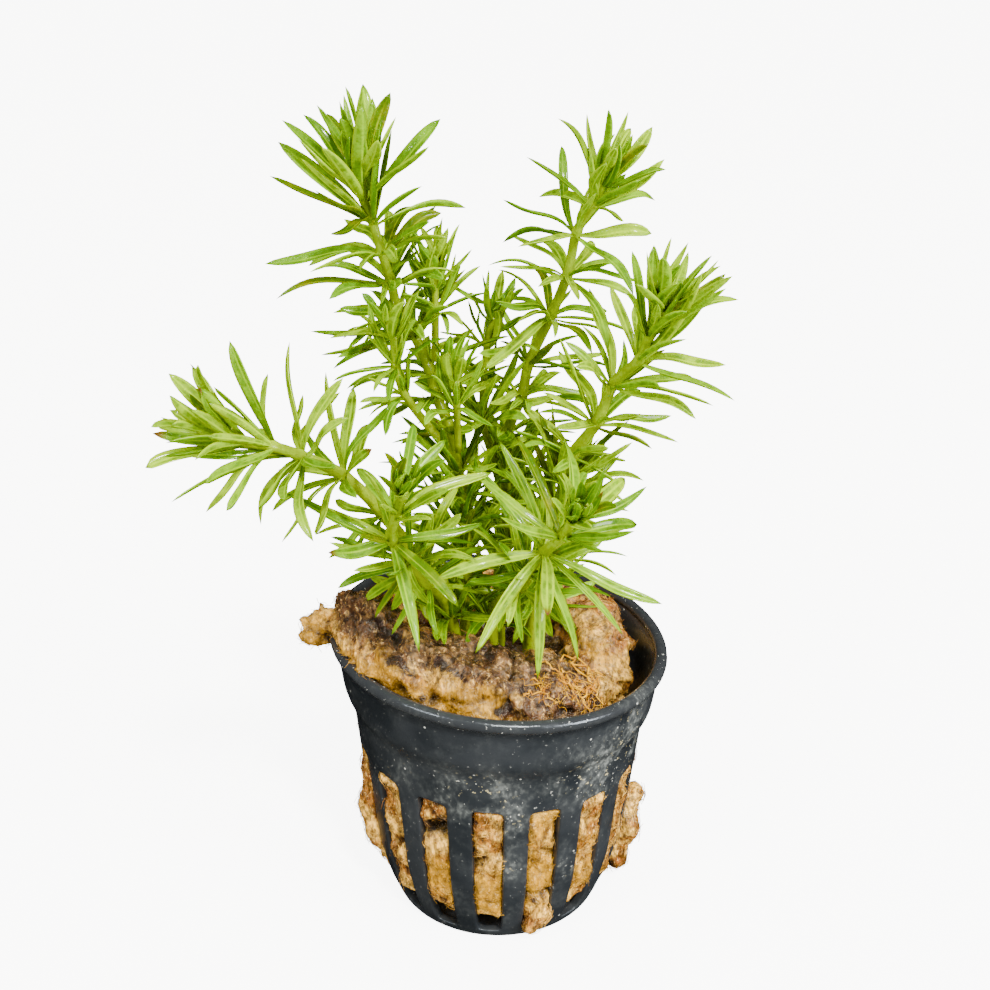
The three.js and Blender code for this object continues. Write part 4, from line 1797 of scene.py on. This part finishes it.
    def grow_bud(self, draft: Draft, blade: Blade, rng: np.random.Generator) -> None:
        """Closes the shoot with small upright leaves.

        Args:
            draft: The mesh in the making.
            blade: The leaf's form.
            rng: The shoot's own random numbers.
        """
        index = len(self.joints) - 1
        axis, place = self.axis(index), self.places()[index]
        east = unit(np.cross([0, 1, 0], axis))
        north = np.cross(axis, east)
        bud = self.bud
        for ring, (share, spread) in enumerate(((1.0, bud.spread), (0.62, 0.6 * bud.spread))):
            count = bud.count - 2 * ring
            for k in range(count):
                turn = 2 * math.pi * (k + 0.5 * ring) / count + rng.uniform(-0.2, 0.2)
                out = (east * math.cos(turn) + north * math.sin(turn)) * spread
                length = bud.length * share * rng.uniform(0.85, 1.1)
                controls = blade.controls(place + axis * 0.3 * ring, unit(out + axis) * length, axis)
                controls[1] += unit(out) * bud.curl * length
                # The bud's leaves take a low tone: painted shade in the dark centre of the crown.
                blade.grow(draft, controls, axis, LeafLook.of_chance(rng, bud.width, (0.05, 0.5)))

    def build(self, room: Clearance, blade: Blade, finish: Material) -> Piece:
        """Makes the shoot.

        Args:
            room: What the shoots before it have claimed.
            blade: The leaf's form.
            finish: The leaf's material.

        Returns:
            The finished shoot.
        """
        rng = np.random.default_rng(100 + self.number)
        draft = Draft()
        self.grow_stem(draft)
        left_out = 0
        for index in range(len(self.joints)):
            axis = self.axis(index)
            share = np.clip((index - self.bare) / (len(self.joints) - 1 - self.bare), 0, 1) ** 1.5
            width = float(self.widths[0] + (self.widths[1] - self.widths[0]) * share)
            width = width if self.joints[index].tips else max(width, 1.05)
            for tip, is_seen in self.leaves_at(index):
                own_width = width if is_seen else width * self.unseen_width
                look = LeafLook.of_chance(rng, own_width, self.tone, self.blunt)
                controls = self.fit(room, blade, index, tip if is_seen else tip * rng.uniform(0.8, 1.0))
                if controls is None:
                    left_out += 1
                    continue
                blade.grow(draft, controls, axis, look)
        self.grow_bud(draft, blade, rng)
        made = draft.build(self.name + "_foliage")
        made.data.materials.append(finish)
        LOG.info("%s: %d leaves had no room", self.name, left_out)
        return on_body(made, Slot.LEAF, self.name)


@dataclass
class RootTangle:
    """Fine orange roots that lie over the front right of the wool."""

    strands: tuple[tuple[Point, ...], ...]
    samples: int = 24
    wobble: float = 0.12
    lift: float = 0.45
    twig_step: float = 0.34
    twig_steps: tuple[int, int] = (6, 15)
    twig_lifts: tuple[float, float] = (0.02, 0.25)
    reference: Point = (0.1, 0.2, 1)
    thick: float = 0.11
    fine: float = 0.04
    twigs: int = 90
    seed: int = 5

    def build(self, pot: NetPot, wool: list[Piece], finish: Material) -> Piece:
        """Makes the main strands and the fine ones that branch off them.

        Args:
            pot: The pot, whose lean the roots follow.
            wool: The pieces that they lie on.
            finish: The roots' material.

        Returns:
            The finished tangle.
        """
        rng = np.random.default_rng(self.seed)
        depsgraph = bpy.context.evaluated_depsgraph_get()
        trees = [BVHTree.FromObject(piece, depsgraph) for piece in wool]
        draft = Draft()
        starts: list[tuple[Array, Array]] = []
        for strand in self.strands:
            path = pot.lean(catmull(np.array(strand, float), np.linspace(0, 1, self.samples)))
            path += rng.normal(0, self.wobble, path.shape)
            self.lay(path, trees, self.lift)
            draft.tube(path, np.linspace(self.thick, self.fine, len(path)), 6, self.reference)
            starts.extend(zip(path[2:-1], np.gradient(path, axis=0)[2:-1]))
        for _ in range(self.twigs):
            spot, heading = starts[int(rng.integers(len(starts)))]
            path = self.wander(spot, unit(heading), rng, trees)
            draft.tube(path, np.linspace(self.fine, self.fine * 0.5, len(path)), 4, self.reference)
        made = draft.build("root_tangle")
        made.data.materials.append(finish)
        return on_body(made, Slot.ROOT, "roots")

    def lay(self, path: Array, trees: list[BVHTree], lift: float) -> None:
        """Moves a path onto the wool's skin.

        Args:
            path: The path, changed in place.
            trees: The wool's surfaces.
            lift: How far above the skin it lies.
        """
        for i, spot in enumerate(path):
            found = [tree.find_nearest(Vector(spot * MM)) for tree in trees]
            near, normal, _, _ = min(found, key=lambda hit: hit[3])
            path[i] = np.array(near) / MM + np.array(normal) * lift

    def wander(self, spot: Array, heading: Array, rng: np.random.Generator, trees: list[BVHTree]) -> Array:
        """Lets a fine root wander over the wool.

        Args:
            spot: Where it branches off.
            heading: The direction of the root that it leaves.
            rng: The tangle's random numbers.
            trees: The wool's surfaces.

        Returns:
            Its path.
        """
        path = [spot]
        steps = int(rng.integers(*self.twig_steps))
        turn = unit(heading + rng.normal(0, 0.9, 3))
        for _ in range(steps):
            turn = unit(turn + rng.normal(0, 0.5, 3))
            path.append(path[-1] + turn * self.twig_step)
        laid = np.array(path)
        self.lay(laid, trees, float(rng.uniform(*self.twig_lifts)))
        return laid


def hang(name: str, data: bpy.types.Light) -> Piece:
    """Puts a lamp into the scene and returns it."""
    lamp = bpy.data.objects.new(name, data)
    lamp.rotation_mode = "QUATERNION"
    bpy.context.scene.collection.objects.link(lamp)
    return lamp


@dataclass(frozen=True)
class Sun:
    """A distant lamp, with its strength in watts for each square metre."""

    name: str
    towards: Point
    strength: float
    spread_deg: float
    colour: Point

    def light(self) -> None:
        """Adds the lamp."""
        data = bpy.data.lights.new(self.name, "SUN")
        data.energy = self.strength
        data.angle = math.radians(self.spread_deg)
        data.color = self.colour
        hang(self.name, data).rotation_quaternion = Vector(self.towards).to_track_quat("Z", "Y")


@dataclass(frozen=True)
class Softbox:
    """A square lamp that faces the plant, with its place and side in metres and its power in watts."""

    name: str
    place: Point
    side: float
    power: float
    colour: Point
    target: Point = (0, 0, 0.06)

    def light(self) -> None:
        """Adds the lamp."""
        data = bpy.data.lights.new(self.name, "AREA")
        data.size = self.side
        data.energy = self.power
        data.color = self.colour
        lamp = hang(self.name, data)
        lamp.location = self.place
        ahead = Vector(self.target) - Vector(self.place)
        lamp.rotation_quaternion = ahead.to_track_quat("-Z", "Y")


@dataclass(frozen=True)
class Studio:
    """The camera, the lights and the floor."""

    lamps: tuple[Sun | Softbox, ...] = (
        Sun("key_lamp", (0.22, -0.55, 0.8), 4.8, 7, (1.0, 0.99, 0.92)),
        Softbox("side_lamp", (0.45, -0.3, 0.25), 0.2, 4.5, (0.95, 0.97, 1.0)),
        Softbox("left_lamp", (-0.35, -0.35, 0.45), 0.1, 2.0, (0.95, 0.97, 1.0)),
    )
    sky: Colour = (1, 0.99, 0.9, 1)
    sky_strength: float = 1.5
    floor_half: float = 3000.0
    floor_level: float = -0.02
    sensor: float = 36
    lens: float = 47.27
    distance: float = 194.0
    elevation_deg: float = 30.0
    rim_height: float = 44.0
    roll_deg: float = 0.5
    frame_pixels: float = 990.0
    rim_pixel: tuple[float, float] = (499.0, 629.0)

    def camera(self) -> None:
        """Places the camera so that the rim's centre lands on its pixel of the photograph."""
        rise = math.radians(self.elevation_deg)
        back, up = self.distance * math.cos(rise), self.distance * math.sin(rise)
        spot = Vector((0, -back, self.rim_height + up))
        ahead = (Vector((0, 0, self.rim_height)) - spot).normalized()
        right = Vector((1, 0, 0))
        above = right.cross(ahead)
        focal = self.lens / self.sensor * self.frame_pixels
        centre = self.frame_pixels / 2
        across, down = ((pixel - centre) / focal for pixel in self.rim_pixel)
        seen = Vector((across, -down, 1)).normalized()
        turn = seen.rotation_difference(Vector((0, 0, 1))).to_matrix()
        basis = Matrix((right, above, ahead)).transposed()
        aimed = basis @ Matrix.Rotation(math.radians(self.roll_deg), 3, "Z") @ turn
        data = bpy.data.cameras.new("photograph_camera")
        data.lens = self.lens
        data.sensor_width = self.sensor
        data.clip_start = 0.001
        eye = bpy.data.objects.new("photograph_camera", data)
        columns = Matrix((aimed.col[0], aimed.col[1], -aimed.col[2])).transposed()
        eye.matrix_world = Matrix.Translation(spot * MM) @ columns.to_4x4()
        bpy.context.scene.collection.objects.link(eye)
        bpy.context.scene.camera = eye

    def build(self) -> None:
        """Sets up the studio."""
        self.camera()
        world = bpy.data.worlds.new("pale_room")
        world.use_nodes = True
        tree = world.node_tree
        Wiring(tree).feed(tree.nodes["Background"], {0: self.sky, 1: self.sky_strength})
        bpy.context.scene.world = world
        world.cycles_visibility.glossy = False
        for lamp in self.lamps:
            lamp.light()
        draft = Draft()
        signs = ((-1, -1), (1, -1), (1, 1), (-1, 1))
        square = [(x * self.floor_half, y * self.floor_half, self.floor_level) for x, y in signs]
        draft.add(np.array(square), [(0, 1, 2, 3)])
        floor = draft.build("floor")
        floor.data.materials.append(FloorPaper().material())
        floor.visible_diffuse = False
        floor.visible_glossy = False


def wool_halves() -> list[WoolHalf]:
    """Gives the two halves of the wool with their marks.

    Returns:
        The front half and the back half.
    """
    front = WoolHalf(
        name="wool_front_half",
        node="wool_front",
        side=-1,
        roll=Roll(
            [(-20, -4, 45), (-15, -10, 43), (-8, -13, 42), (0, -14, 41.6), (8, -13.6, 41), (15, -11, 39)],
            6.9,
        ),
        lumps=[
            Lump((-18.6, -6, 46), (5, 5, 5.8)),
            Lump((-26.7, -3.4, 44.3), (2.5, 2.5, 2.3)),
            Lump((-24.2, -3.8, 43.8), (2.8, 2.4, 2.6)),
            Lump((-28.8, -3.6, 45.6), (0.9, 0.8, 1.2), -40),
            Lump((-26, -3.2, 46.2), (0.8, 0.9, 1.2), 20),
            Lump((-17, -5.7, 16.5), (4.2, 3.4, 9.5)),
            Lump((5.8, -15.8, 5), (2.1, 3.2, 4)),
        ],
        stains=marks(
            (-15.4, -13, 49.2, 2.2, 1.2), (-17, -11, 50, 1.8, 0.7), (-12.7, -16.6, 47.3, 1.5, 1.1),
            (-12.9, -17.6, 45.9, 1.3, 0.9), (-7.2, -17.4, 47.3, 1.8, 1.1), (-5.6, -18.3, 46.8, 1.6, 1.0),
            (-10.6, -20, 43, 1.6, 0.8), (-7.5, -20, 42.4, 1.4, 0.9), (1.6, -19.6, 44, 1.6, 1.1),
            (-2, -20.5, 42.6, 1.5, 0.7), (4.5, -19.4, 44.6, 1.5, 0.7), (-9, -19.2, 25, 2.2, 0.6),
            (-8.7, -19, 21.2, 1.8, 1.3), (-24, -3.4, 43, 1.6, 0.8), (-25.6, -5.8, 43.8, 1.7, 0.9),
            (-27.6, -5.4, 45.2, 0.9, 0.7), (-19.4, -10.6, 49.6, 1.3, 0.8), (3.4, -17.6, 46.6, 1.8, 0.7),
            (8.6, -18.4, 44.2, 1.8, 0.8), (8.6, -19, 22.6, 1.6, 1.1), (-15.3, -14.3, 20, 2.2, 0.5),
            (-20, -7, 10, 3, 0.8), (-14, -13, 9, 2.5, 0.6), (4.6, -18, 9.4, 1.4, 0.9),
            (-3.2, -19.8, 24.5, 1.8, 0.5), (1.4, -20, 21, 1.3, 0.6), (-3.2, -19, 12, 1.2, 0.5),
            (5, -18.4, 20, 1.3, 0.5), (8.6, -17.4, 12.5, 1.2, 0.5), (12.6, -15.6, 14, 1.4, 0.6),
            (-14.8, -13, 24, 1.6, 0.7), (-12.4, -14.4, 9, 1.6, 0.7),
        ),
        golds=marks(
            (-27, -3.4, 44.5, 2.6, 0.9), (-16, -17, 44.5, 3.6, 1.2), (-20, -9, 44, 3, 0.8),
            (-5, -20.6, 43.4, 3.4, 1.0), (-2, -19.4, 45, 2.2, 0.6), (7, -20, 24, 3, 1.0),
            (6.9, -19.1, 14, 4.5, 1.2), (-1, -20, 10, 5, 1.1), (-8.6, -17.8, 13, 4, 0.9),
            (14.6, -13, 11, 4, 0.8), (14.6, -13, 20, 4, 0.5),
        ),
        creases=[
            ((2, -13, 49.4), (1.6, -19, 44.4), 1.9), ((-27.6, -5.8, 45.4), (-25.6, -6, 43.4), 0.8),
            ((-10.8, -16.6, 20.2), (-6.4, -18.8, 21), 3.4), ((-10.8, -16.8, 21.8), (-7, -18.8, 22.4), 2.6),
            ((-10.8, -16.2, 5.4), (-6, -17.8, 6), 1.6), ((-3.6, -19.4, 15.6), (1.4, -19.8, 20.5), 1.3),
            ((-3, -19, 9), (1.6, -19, 7.4), 0.9), ((5.4, -19, 19.5), (9, -18, 17), 1.1),
            ((8.6, -18.4, 24), (8.8, -18, 19), 1.3), ((4.4, -18.2, 10.4), (8.8, -17.2, 9.6), 1.6),
            ((12.4, -15.4, 7), (15.4, -13.4, 17.5), 1.2), ((-15.6, -12.4, 14), (-12.6, -14.4, 17), 1.3),
            ((-9.6, -14, 48.6), (-8.6, -19, 43.6), 1.5), ((-14, -12, 49.5), (-13.4, -17.6, 43.6), 1.3),
            ((-5.6, -15, 48.6), (-6.2, -19.6, 44), 1.2), ((-17.6, -9, 50), (-17.2, -14.6, 44), 1.0),
            ((9.4, -12.6, 47.6), (9, -18.6, 43), 1.2),
        ],
        mauves=marks(
            (-20, -9, 49.6, 3.2, 0.8), (-10, -15, 48.8, 3.4, 0.9), (-1, -16, 48, 4.4, 0.7),
            (6, -17.6, 46.6, 4.2, 1.0), (5, -20, 43.4, 3.2, 0.9), (10.6, -17.6, 43.4, 3.6, 0.9),
            (12, -14, 46, 4, 0.9), (-9, -19.2, 25, 2.6, 0.4),
        ),
    )
    back = WoolHalf(
        name="wool_back_half",
        node="wool_back",
        side=1,
        roll=Roll(
            [
                (-17, 8, 39), (-9, 14, 39), (0, 15.5, 39), (8, 14, 40),
                (14, 8, 40), (15, 0, 39), (14, -6, 36),
            ],
            5.6,
        ),
        lumps=[Lump((19.8, -1.6, 9.8), (2.4, 3.6, 8.6), 12), Lump((18, -1.2, 11), (3.4, 1.5, 5))],
        # The last two stain marks, on top of the back roll, are painted shade under the leaves.
        stains=marks(
            (17, -5, 42, 3, 0.6), (18, -4, 3, 2.6, 0.8), (22, -3, 15, 1.6, 0.5), (-6, 10, 43, 6, 0.6),
            (3, 9, 43, 5, 0.6),
        ),
        golds=marks((14, -2, 43, 4, 0.6), (15, -12, 18, 4, 0.5)),
        creases=[
            ((10, 11, 47), (16, 14, 40), 1.6), ((12, 4, 46), (19, 6, 40), 1.2),
            ((22, -3, 4), (22, -2, 17), 0.7),
        ],
        mauves=marks((13, 13, 44, 4, 0.5), (21, -3, 12, 4, 0.35)),
        seed=40,
    )
    return [front, back]


def shoots() -> list[Shoot]:
    """Gives the plant's shoots, with each joint's place and its seen leaves' tips in millimetres.

    Returns:
        The side shoots, then the main ones.
    """
    small_bud = Bud(5, 4, 0.3, 0.12, 0.42)
    tight_bud = Bud(6, 7, 0.24, 0.12, 0.7)
    long_bud = Bud(5, 6.5, 0.26, 0.05, 0.8)
    side_upper = Shoot("side_shoot_upper", 1, (0.5, 0.4), [
        ((-9.1, 3.3, 84.5),),
        ((-9, 3, 92), (7, 1, 2), (-4, -7, 4), (2, -9, -1), (4, -8, 0)),
        ((-9, 3, 95), (7, 6, -4), (-4, 6, 4), (5, 1, 5), (3, -3, 8), (-4, -6, 2)),
        ((-9, 3, 97), (0, 6, 5), (2, -4, 7), (1, 2, 7), (-2, -4, 5)),
    ], (0.75, 0.92), 1, 11, bud=small_bud)
    side_front = Shoot("side_shoot_front", 2, (0.6, 0.45), [
        ((-7.9, 1.2, 73),),
        ((-10.5, -0.5, 77),),
        ((-13, -3, 82), (-6, -1, -1), (-2, -8, -3), (-5, 6, -4)),
        ((-14, -5, 87), (-8, -2, -2), (7, 1, 3), (-2, -9, -1), (0, -10, -2)),
        ((-14, -6, 91), (-2, 7, 3), (3, 2, 5), (-9, 5, -2), (2, -5, 6)),
    ], (0.75, 0.92), 2, 11, bud=small_bud)
    side_thin = Shoot("side_shoot_thin", 3, (0.5, 0.4), [
        ((-0.7, 7.3, 68),),
        ((-2.6, 6, 75),),
        ((-2, 6, 86), (-5, 1, 4), (-7, 6, 0), (5, 1, 4), (7, -6, 1)),
        ((-1, 6, 90), (1, 6, 5), (-1, -6, 6), (3, 1, 4), (-4, -4, 4)),
    ], (0.75, 0.92), 1, 11, bud=small_bud)
    side_middle = Shoot("side_shoot_middle", 4, (0.5, 0.4), [
        ((-5.9, 1.1, 72),),
        ((-6, -2, 80), (-6, 1, 3), (5, 8, 2), (-4, -8, 0), (5, -8, 0)),
        ((-6, -3, 84), (-1, 7, 4), (2, -3, 7), (3, 1, 3), (-6, 6, -2)),
    ], (0.75, 0.92), 1, 11, bud=small_bud)
    tall_left = Shoot("shoot_tall_left", 5, (0.9, 0.5), [
        ((-4, 1, 30),),
        ((-5, 1, 46),),
        ((-5, 2, 52), (-6, -8, -2), (-8, -3, -4), (-15, -3, 0)),
        ((-5, 2, 56),),
        ((-5, 3, 60),),
        ((-5, 3, 64),),
        ((-6, 3, 68),),
        ((-7, 3, 74), (-4, -7, 4), (6, 6, -1)),
        ((-9, 4, 79), (-8, 7, -6), (8, 10, -3)),
        ((-10, 4, 83), (-12, 3, -4), (6, 10, 3)),
        ((-12, 4, 88), (-14, -2, 1), (-11, -3, -4), (-13, 0, -3)),
        ((-14, 4, 91), (-10, 7, -2), (-8, -1, 1), (-6, -10, -2), (4, -9, -1)),
        ((-15, 3, 96), (-15, -3, -2), (-7, -10, 0), (4, 11, 6), (2, -8, 1)),
        ((-16, 2, 100), (-15, -3, -1), (-8, -11, 0), (-11, 8, -4), (7, -9, 6), (8, 1, 5), (0, 12, 3)),
        (
            (-17, 2, 104), (-13, -1, 6), (-12, 1, 10), (-6, -10, 6), (-4, -12, 1), (12, 9, 0), (7, -7, 6),
            (-1, -6, 15), (2, -5, 14),
        ),
        (
            (-18, 1, 107), (-10, 0, 10), (-8, 5, 10), (-4, -8, 8), (10, 2, 10), (9, -7, 8),
            (1, -7, 13), (-2, -5, 13),
        ),
        ((-18, 0, 110), (-1, -6, 12), (1, -5, 12), (0, 5, 11), (-5, 7, 7), (3, -8, 6), (-2, -4, 8)),
    ], (0.88, 1.3), whorl=12, tone=(0.0, 0.8), blunt=(1.8, 3.2))
    back_right = Shoot("shoot_back_right", 6, (0.9, 0.55), [
        ((0, 4, 30),),
        ((0, 4, 45),),
        ((0, 5, 51),),
        ((1, 6, 56),),
        ((1, 6, 61),),
        ((1, 7, 66),),
        ((1, 8, 72), (5, -10, 4), (-6, 10, 1)),
        ((3, 8, 78), (-8, 10, 2), (6, 10, 0)),
        ((4, 8, 83), (3, -10, 6), (-7, -9, 4), (-4, 10, 5)),
        ((7, 8, 90), (-8, -10, -6), (-7, 10, -1), (-3, 11, 4), (5, -12, -2), (-5, -11, 2)),
        ((9, 7, 96), (-11, 0, 1), (-4, 11, 2), (4, 11, 2), (5, -10, 4), (5, -12, -7), (1, -10, -1)),
        ((10, 6, 102), (-2, 8, 10), (-10, 1, 4), (-8, -9, 0), (-10, 6, -3), (10, -1, 0), (7, -10, -6)),
        ((12, 4, 106), (9, 0, 6), (5, -9, 5), (9, 8, -1), (-9, 1, 6), (3, -10, 0), (-7, 10, -1)),
        (
            (13, 3, 109), (-6, 1, 8), (-2, 6, 8), (0, -5, 10),
            (3, 1, 9), (4, 7, 6), (5, -6, 6), (8, -1, 2),
        ),
    ], (0.85, 1.1), whorl=11, tone=(0.1, 1.0))
    right = Shoot("shoot_right", 7, (0.95, 0.6), [
        ((4, 0, 30),),
        ((5, 0, 48),),
        ((7, 0, 56), (-4, -7, -11), (4, -9, -7)),
        ((7, 0, 60),),
        ((8, -1, 64),),
        ((9, -1, 68),),
        ((10, -2, 73), (4, -10, 5), (6, 0, 0), (8, 7, -4), (-5, 10, -2)),
        ((13, -3, 78), (5, -10, 5), (11, -2, -2), (-6, -10, 3), (-8, 1, 1), (-6, 2, 11), (-5, 10, 7)),
        ((15, -4, 84), (13, -3, -2), (5, -10, 3), (10, -8, -2), (-5, 2, 7), (-3, 11, 10), (2, 10, 3)),
        ((18, -6, 88), (11, -2, 0), (11, -10, -2), (-4, 3, 9), (1, 11, 5), (6, -9, 14), (3, -8, 13)),
        ((19, -8, 92), (9, 0, 8), (8, -7, 8), (12, 6, 3), (-4, -6, 7), (5, -7, 11), (9, -5, 9)),
        ((20, -10, 96), (-1, -6, 8), (3, 1, 7), (5, -5, 8), (8, 6, 4), (-4, -7, 5)),
    ], (0.95, 1.12), whorl=10, bud=long_bud, tone=(0.35, 1.0))
    low_left = Shoot("shoot_low_left", 8, (1, 0.6), [
        ((-8, -1, 30),),
        ((-9, -3, 48),),
        ((-11, -4, 56), (4, -7, -7)),
        ((-16, -7, 66), (-4, -10, -2), (5, 10, 2)),
        ((-21, -10, 73), (-2, 4, 13), (1, 9, 9), (4, 11, 3), (5, -8, 7), (-2, -12, -3)),
        (
            (-26, -13, 77), (-1, 4, 14), (-1, 12, 4), (4, 13, 4),
            (-5, -4, -6), (3, -11, -7), (0, -12, -1), (-6, 2, -11),
        ),
        (
            (-29, -15, 79), (-5, 3, 13), (-2, 11, 6), (-8, -5, -7),
            (-4, -11, -4), (-10, -13, -2), (-6, -12, 0),
        ),
        ((-32, -16, 80), (-8, 7, 8), (-12, -4, -2), (-4, -11, 2), (-8, -8, 3)),
        ((-34, -17, 82), (-7, 1, 7), (-5, -7, 7), (-10, 4, -1), (-8, -1, 2), (-6, 6, 3)),
    ], (1.0, 1.18), whorl=10, bud=long_bud, tone=(0.25, 1.0), blunt=(2.8, 5.5))
    front_left = Shoot("shoot_front_left", 9, (0.95, 0.6), [
        ((-5, -5, 30),),
        ((-7, -5, 49),),
        ((-10, -10, 57), (2, -8, -4)),
        ((-12, -13, 62),),
        (
            (-14, -17, 67), (-8, -2, -1), (-10, 6, 2), (-5, 5, -10), (4, -10, -11),
            (9, -9, -5), (12, 1, 2), (-12, 8, 7), (11, 5, -3),
        ),
        ((-13, -20, 72), (12, 4, 4), (6, 8, 7), (-6, 10, 2), (5, -10, 4)),
        ((-12, -23, 76), (1, 9, 6), (-1, 9, 2), (1, 9, 0), (2, -4, 4)),
    ], (0.9, 1.08), 1, 7, bud=tight_bud, tone=(0.0, 0.9))
    front_right = Shoot("shoot_front_right", 10, (0.95, 0.6), [
        ((0, -4, 30),),
        ((-1, -4, 48),),
        ((3, -9, 56), (-3, -11, -1), (0, -12, -2), (4, -12, -1), (7, -11, -1), (-8, -6, 3)),
        ((4, -12, 60),),
        (
            (6, -16, 65), (-15, -2, -1), (-9, -11, -9), (0, -12, -3), (-1, -9, -14),
            (4, -11, -10), (10, -6, -9), (15, -5, -5), (-4, 10, 12), (-6, 9, 8), (-10, 10, 8), (-1, 9, 8),
        ),
        ((8, -20, 69), (10, 6, -1), (-11, 7, 5), (-6, 9, 10), (-8, -7, 6)),
        ((9, -23, 73), (9, 1, 4), (7, 8, 2), (-1, 12, 6), (2, 8, 3), (2, -5, 1), (-3, -5, 5)),
    ], (0.9, 1.08), 1, 7, bud=tight_bud, tone=(0.0, 0.9))
    side_shoots = [side_upper, side_front, side_thin, side_middle]
    return side_shoots + [tall_left, back_right, right, low_left, front_left, front_right]


ROOT_STRANDS = (
    (
        (8.6, -12.6, 47.6), (10.6, -12.2, 48), (12.6, -12.2, 47.6), (14, -13.2, 46.4),
        (14.4, -15, 45.4), (13.6, -16.4, 44.8), (12, -16.6, 45.4), (10, -15.6, 46.4),
    ),
    ((10, -12.5, 48), (12, -15, 46.3), (13.4, -16.6, 44.8), (14.3, -17, 43.8), (14.8, -16, 44)),
    ((5, -16.2, 47.1), (7, -17, 46.6), (9, -17.4, 46), (11, -17.2, 45.6), (12.5, -16.6, 45.2)),
    ((4.7, -17.3, 46.8), (5.6, -18.3, 46), (6.8, -19.2, 45), (8, -19.7, 44.2)),
    ((3.6, -19.5, 45.4), (5, -19, 45.8), (6.3, -18.3, 46), (7.6, -17.4, 46.4)),
    ((8.4, -14.8, 46.9), (9.4, -16.6, 46.2), (10.2, -18, 45), (10.6, -19, 44)),
    ((12.5, -16.6, 45.2), (11.4, -18, 44.4), (12.4, -18.8, 43.2), (13.9, -18.1, 43)),
    ((5.6, -14.6, 48), (7.4, -15.6, 47.4), (8.8, -17, 46.4), (8.6, -18.4, 45.4)),
    ((10.6, -12.2, 48), (12.2, -13.6, 46.8), (13.2, -15.4, 45.6), (12.6, -16.8, 45)),
)


def main() -> None:
    """Builds the potted plant piece by piece."""
    logging.basicConfig(level=logging.INFO, format="%(message)s")
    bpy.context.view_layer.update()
    Studio().build()
    pot = NetPot()
    pot.build(PotPlastic())
    wool_finish = WoolFibre().material()
    wool = [half.build(pot, wool_finish) for half in wool_halves()]
    RootTangle(ROOT_STRANDS).build(pot, wool, RootSkin().material())
    leaf = LeafTissue().material()
    room = Clearance()
    plant = shoots()
    for shoot in plant:
        shoot.claim_stem(room)
    for number, half in enumerate(wool_halves(), start=101):
        path = catmull(np.array(half.roll.points, float), np.linspace(0, 1, 25))
        room.claim(path, half.roll.radius + 1, number)
    blade = Blade()
    for shoot in plant:
        shoot.build(room, blade, leaf)


if __name__ == "__main__":
    main()
